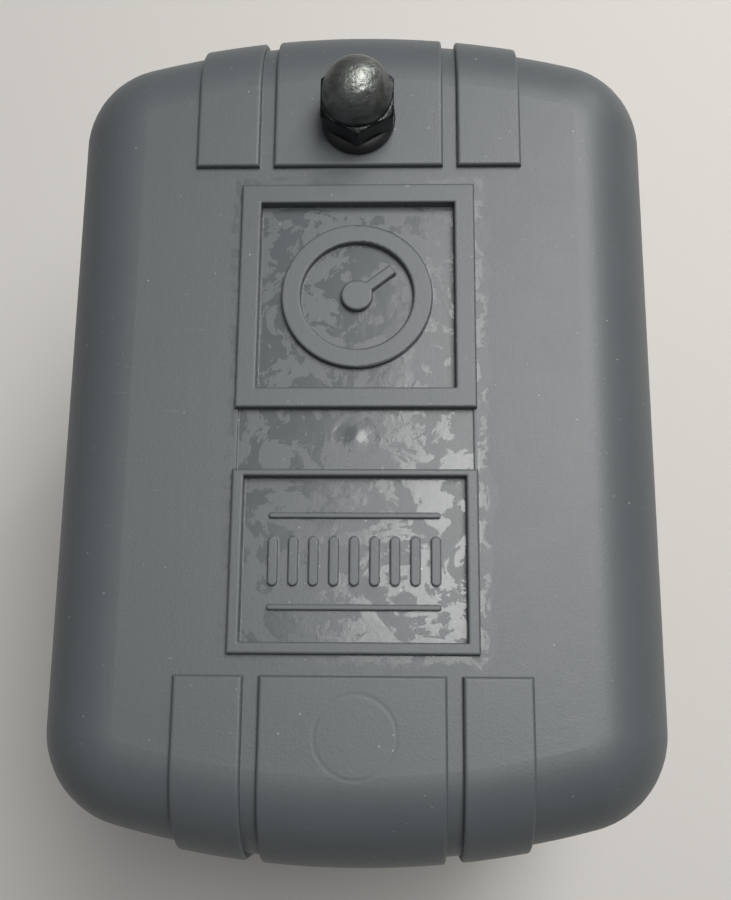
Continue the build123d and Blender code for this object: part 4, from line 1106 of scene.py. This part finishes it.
@dataclass
class ThreadedStuds:
    """The two threaded studs and the hexagonal nuts that run on them."""

    shop: FinishShop
    slot: str = "zinc_bright"
    radius: float = 2.08
    pitch: float = 0.794
    tray_low: float = 19.0
    floor: float = 20.5
    range_tip: float = 93.4
    differential_tip: float = 57.9
    nut_height: float = 3.2

    def build(self) -> None:
        """Builds the studs and their nuts."""
        self.shop.fit(self.range_stud(), self.slot, "range_stud", "root")
        self.shop.fit(self.differential_stud(), self.slot, "differential_stud", "root")
        for name, node, low, axis in (("range_hex_nut", "range_nut", 61.8, RANGE_AXIS),
                                      ("differential_hex_nut", "differential_nut", 49.7, DIFFERENTIAL_AXIS)):
            self.shop.fit(self.nut(name, low, axis), self.slot, node, node)

    def shank(self, name: str, plain_top: float, tip: float) -> list[Piece]:
        """A plain shank, its thread and its pointed tip, about the origin.

        Args:
            name: The start of the parts' names.
            plain_top: Where the thread starts.
            tip: The height of the tip.

        Returns:
            The parts.
        """
        root = self.radius - 0.6 * self.pitch
        plain = Bench.lathe(f"{name}_plain", [(0, self.tray_low), (self.radius - 0.05, self.tray_low),
                                              (self.radius - 0.05, plain_top - 0.5), (root, plain_top),
                                              (0, plain_top)], 40)
        thread = Bench.thread(f"{name}_thread", self.radius, plain_top - 0.4, tip - 0.45, self.pitch)
        point = Bench.lathe(f"{name}_point", [(0, tip - 0.6), (root + 0.3, tip - 0.6),
                                              (root + 0.28, tip - 0.4), (root - 0.1, tip), (0, tip)], 40)
        return [Bench.smooth(part, 30) for part in (plain, thread, point)]

    def range_stud(self) -> Piece:
        """The long stud with its hexagonal collar and riveted foot."""
        parts = self.shank("range", 50.0, self.range_tip)
        collar = Bench.hexagon("collar", 8.8, self.floor, 27.0)
        Bench.soften(collar, 0.25, 2)
        foot = Bench.lathe("foot", [(0, 18.2), (3.0, 18.2), (3.5, 18.45), (3.68, 18.8), (3.68, 19.0),
                                    (0, 19.0)], 40)
        parts += [Bench.smooth(collar), Bench.smooth(foot)]
        return Bench.settle(Bench.join(parts, "range_threaded_stud"), (*RANGE_AXIS, 0))

    def differential_stud(self) -> Piece:
        """The short stud with its shoulder."""
        parts = self.shank("differential", 36.0, self.differential_tip)
        shoulder = Bench.lathe("shoulder", [(0, self.floor), (3.1, self.floor), (3.1, 28.7), (2.95, 28.9),
                                            (0, 28.9)], 40)
        parts.append(Bench.smooth(shoulder))
        return Bench.settle(Bench.join(parts, "differential_threaded_stud"), (*DIFFERENTIAL_AXIS, 0))

    def nut(self, name: str, low: float, axis: Pair) -> Piece:
        """A hexagonal nut with turned-down corners and a countersunk bore.

        Args:
            name: Its name.
            low: The height of its underside.
            axis: Its axis in plan.

        Returns:
            The nut.
        """
        high = low + self.nut_height
        body = Bench.hexagon(name, NUT_FLATS, low, high)
        Bench.soften(body, 0.14, 2)
        Bench.turn_down(body, low, high, 0.1, 30)
        r = self.radius + 0.05
        bore = Bench.lathe("bore", [(0, low - 0.3), (r + 0.75, low - 0.3), (r, low + 0.4), (r, high - 0.4),
                                    (r + 0.75, high + 0.3), (0, high + 0.3)], 40)
        Bench.combine(body, bore, Cut.AWAY)
        Bench.settle(body, (*axis, 0))
        return Bench.smooth(body, 38)


@dataclass
class Studio:
    """The floor, the lights and the camera."""

    floor_colour: Colour = (0.5, 0.487, 0.468)
    floor_size: float = 12.0
    world_colour: Colour = (0.95, 0.97, 1.0)
    world_strength: float = 0.17
    fill_power: float = 1.9
    fill_size: float = 1.4
    fill_height: float = 1.3
    glint_power: float = 0.4
    glint_size: Pair = (0.05, 0.16)
    glint_place: Point = (0.30, 0.42, 0.30)
    key_power: float = 4.75
    key_size: Pair = (0.28, 0.52)
    key_place: Point = (0.174, 0.208, 0.6)
    key_turn: float = -17.0
    camera_place: Point = (0.005117, -0.036098, 0.212856)
    camera_right: Point = (0.999543, 0.008484, -0.028924)
    camera_down: Point = (0.001468, -0.972140, -0.234396)
    lens: float = 45.5

    def build(self) -> None:
        """Sets the studio up."""
        bpy.context.scene.view_settings.view_transform = "Standard"
        self.world()
        self.floor()
        self.key()
        self.fill()
        self.glint()
        self.camera()

    def world(self) -> None:
        """An even, weak fill from all round."""
        world = bpy.data.worlds.new("studio_fill")
        world.use_nodes = True
        background = world.node_tree.nodes["Background"]
        background.inputs["Color"].default_value = (*self.world_colour, 1.0)
        background.inputs["Strength"].default_value = self.world_strength
        bpy.context.scene.world = world

    def floor(self) -> None:
        """A wide pale floor."""
        g = NodeGraph("studio_floor")
        tone = g.noise(0.12, 3, 0.5)
        fine = g.noise(1.5 * MM, 3, 0.6)
        colour = g.mix(tone, tint(self.floor_colour, 0.97), tint(self.floor_colour, 1.03))
        material = g.finish(Base_Color=colour, Roughness=fine.fit(0.6, 0.75), Normal=g.bump(fine, 0.01 * MM))
        bpy.ops.mesh.primitive_plane_add(size=self.floor_size, location=(0, 0, 0))
        floor = bpy.context.object
        floor.name = "studio_floor"
        floor.data.materials.append(material)

    @staticmethod
    def panel(name: str, size: Pair, power: float, place: Point) -> Piece:
        """A soft light panel that faces straight down.

        Args:
            name: The light's name.
            size: Its width and its length, in metres.
            power: Its power, in watts.
            place: Where it hangs.

        Returns:
            The light.
        """
        light = bpy.data.lights.new(name, "AREA")
        light.shape = "RECTANGLE"
        light.size, light.size_y = size
        light.energy = power
        light.color = (1.0, 0.985, 0.96)
        panel = bpy.data.objects.new(name, light)
        bpy.context.scene.collection.objects.link(panel)
        panel.location = place
        return panel

    def key(self) -> None:
        """One soft panel above, to the right and to the rear."""
        panel = self.panel("key_panel", self.key_size, self.key_power, self.key_place)
        panel.rotation_euler = (0, 0, radians(self.key_turn))

    def fill(self) -> None:
        """A large, weak panel high above."""
        self.panel("fill_panel", (self.fill_size, self.fill_size), self.fill_power, (0, 0, self.fill_height))

    def glint(self) -> None:
        """A small, low strip at the rear right that only polished metal picks up."""
        strip = self.panel("glint_strip", self.glint_size, self.glint_power, self.glint_place)
        aim = Vector((0, 0.036, 0.09)) - Vector(self.glint_place)
        strip.rotation_euler = aim.to_track_quat("-Z", "Y").to_euler()

    def camera(self) -> None:
        """The camera, nearly straight above the cover."""
        right, down = Vector(self.camera_right), Vector(self.camera_down)
        back = right.cross(-down)
        data = bpy.data.cameras.new("camera")
        data.lens = self.lens
        data.sensor_width = 36.0
        data.clip_start, data.clip_end = 0.01, 20.0
        camera = bpy.data.objects.new("camera", data)
        bpy.context.scene.collection.objects.link(camera)
        turn = Matrix((right, -down, back)).transposed().to_4x4()
        camera.matrix_world = Matrix.Translation(self.camera_place) @ turn
        bpy.context.scene.camera = camera


def main() -> None:
    """Builds the studio and the switch's pieces, in order."""
    logging.basicConfig(level=logging.INFO, format="%(name)s: %(message)s")
    Studio().build()
    shop = FinishShop()
    shop.dress_frame()
    CoverFastening(shop).build()
    PressureSeal(shop).build()
    ThreadedStuds(shop).build()
    SpringSet(shop).build()


if __name__ == "__main__":
    main()
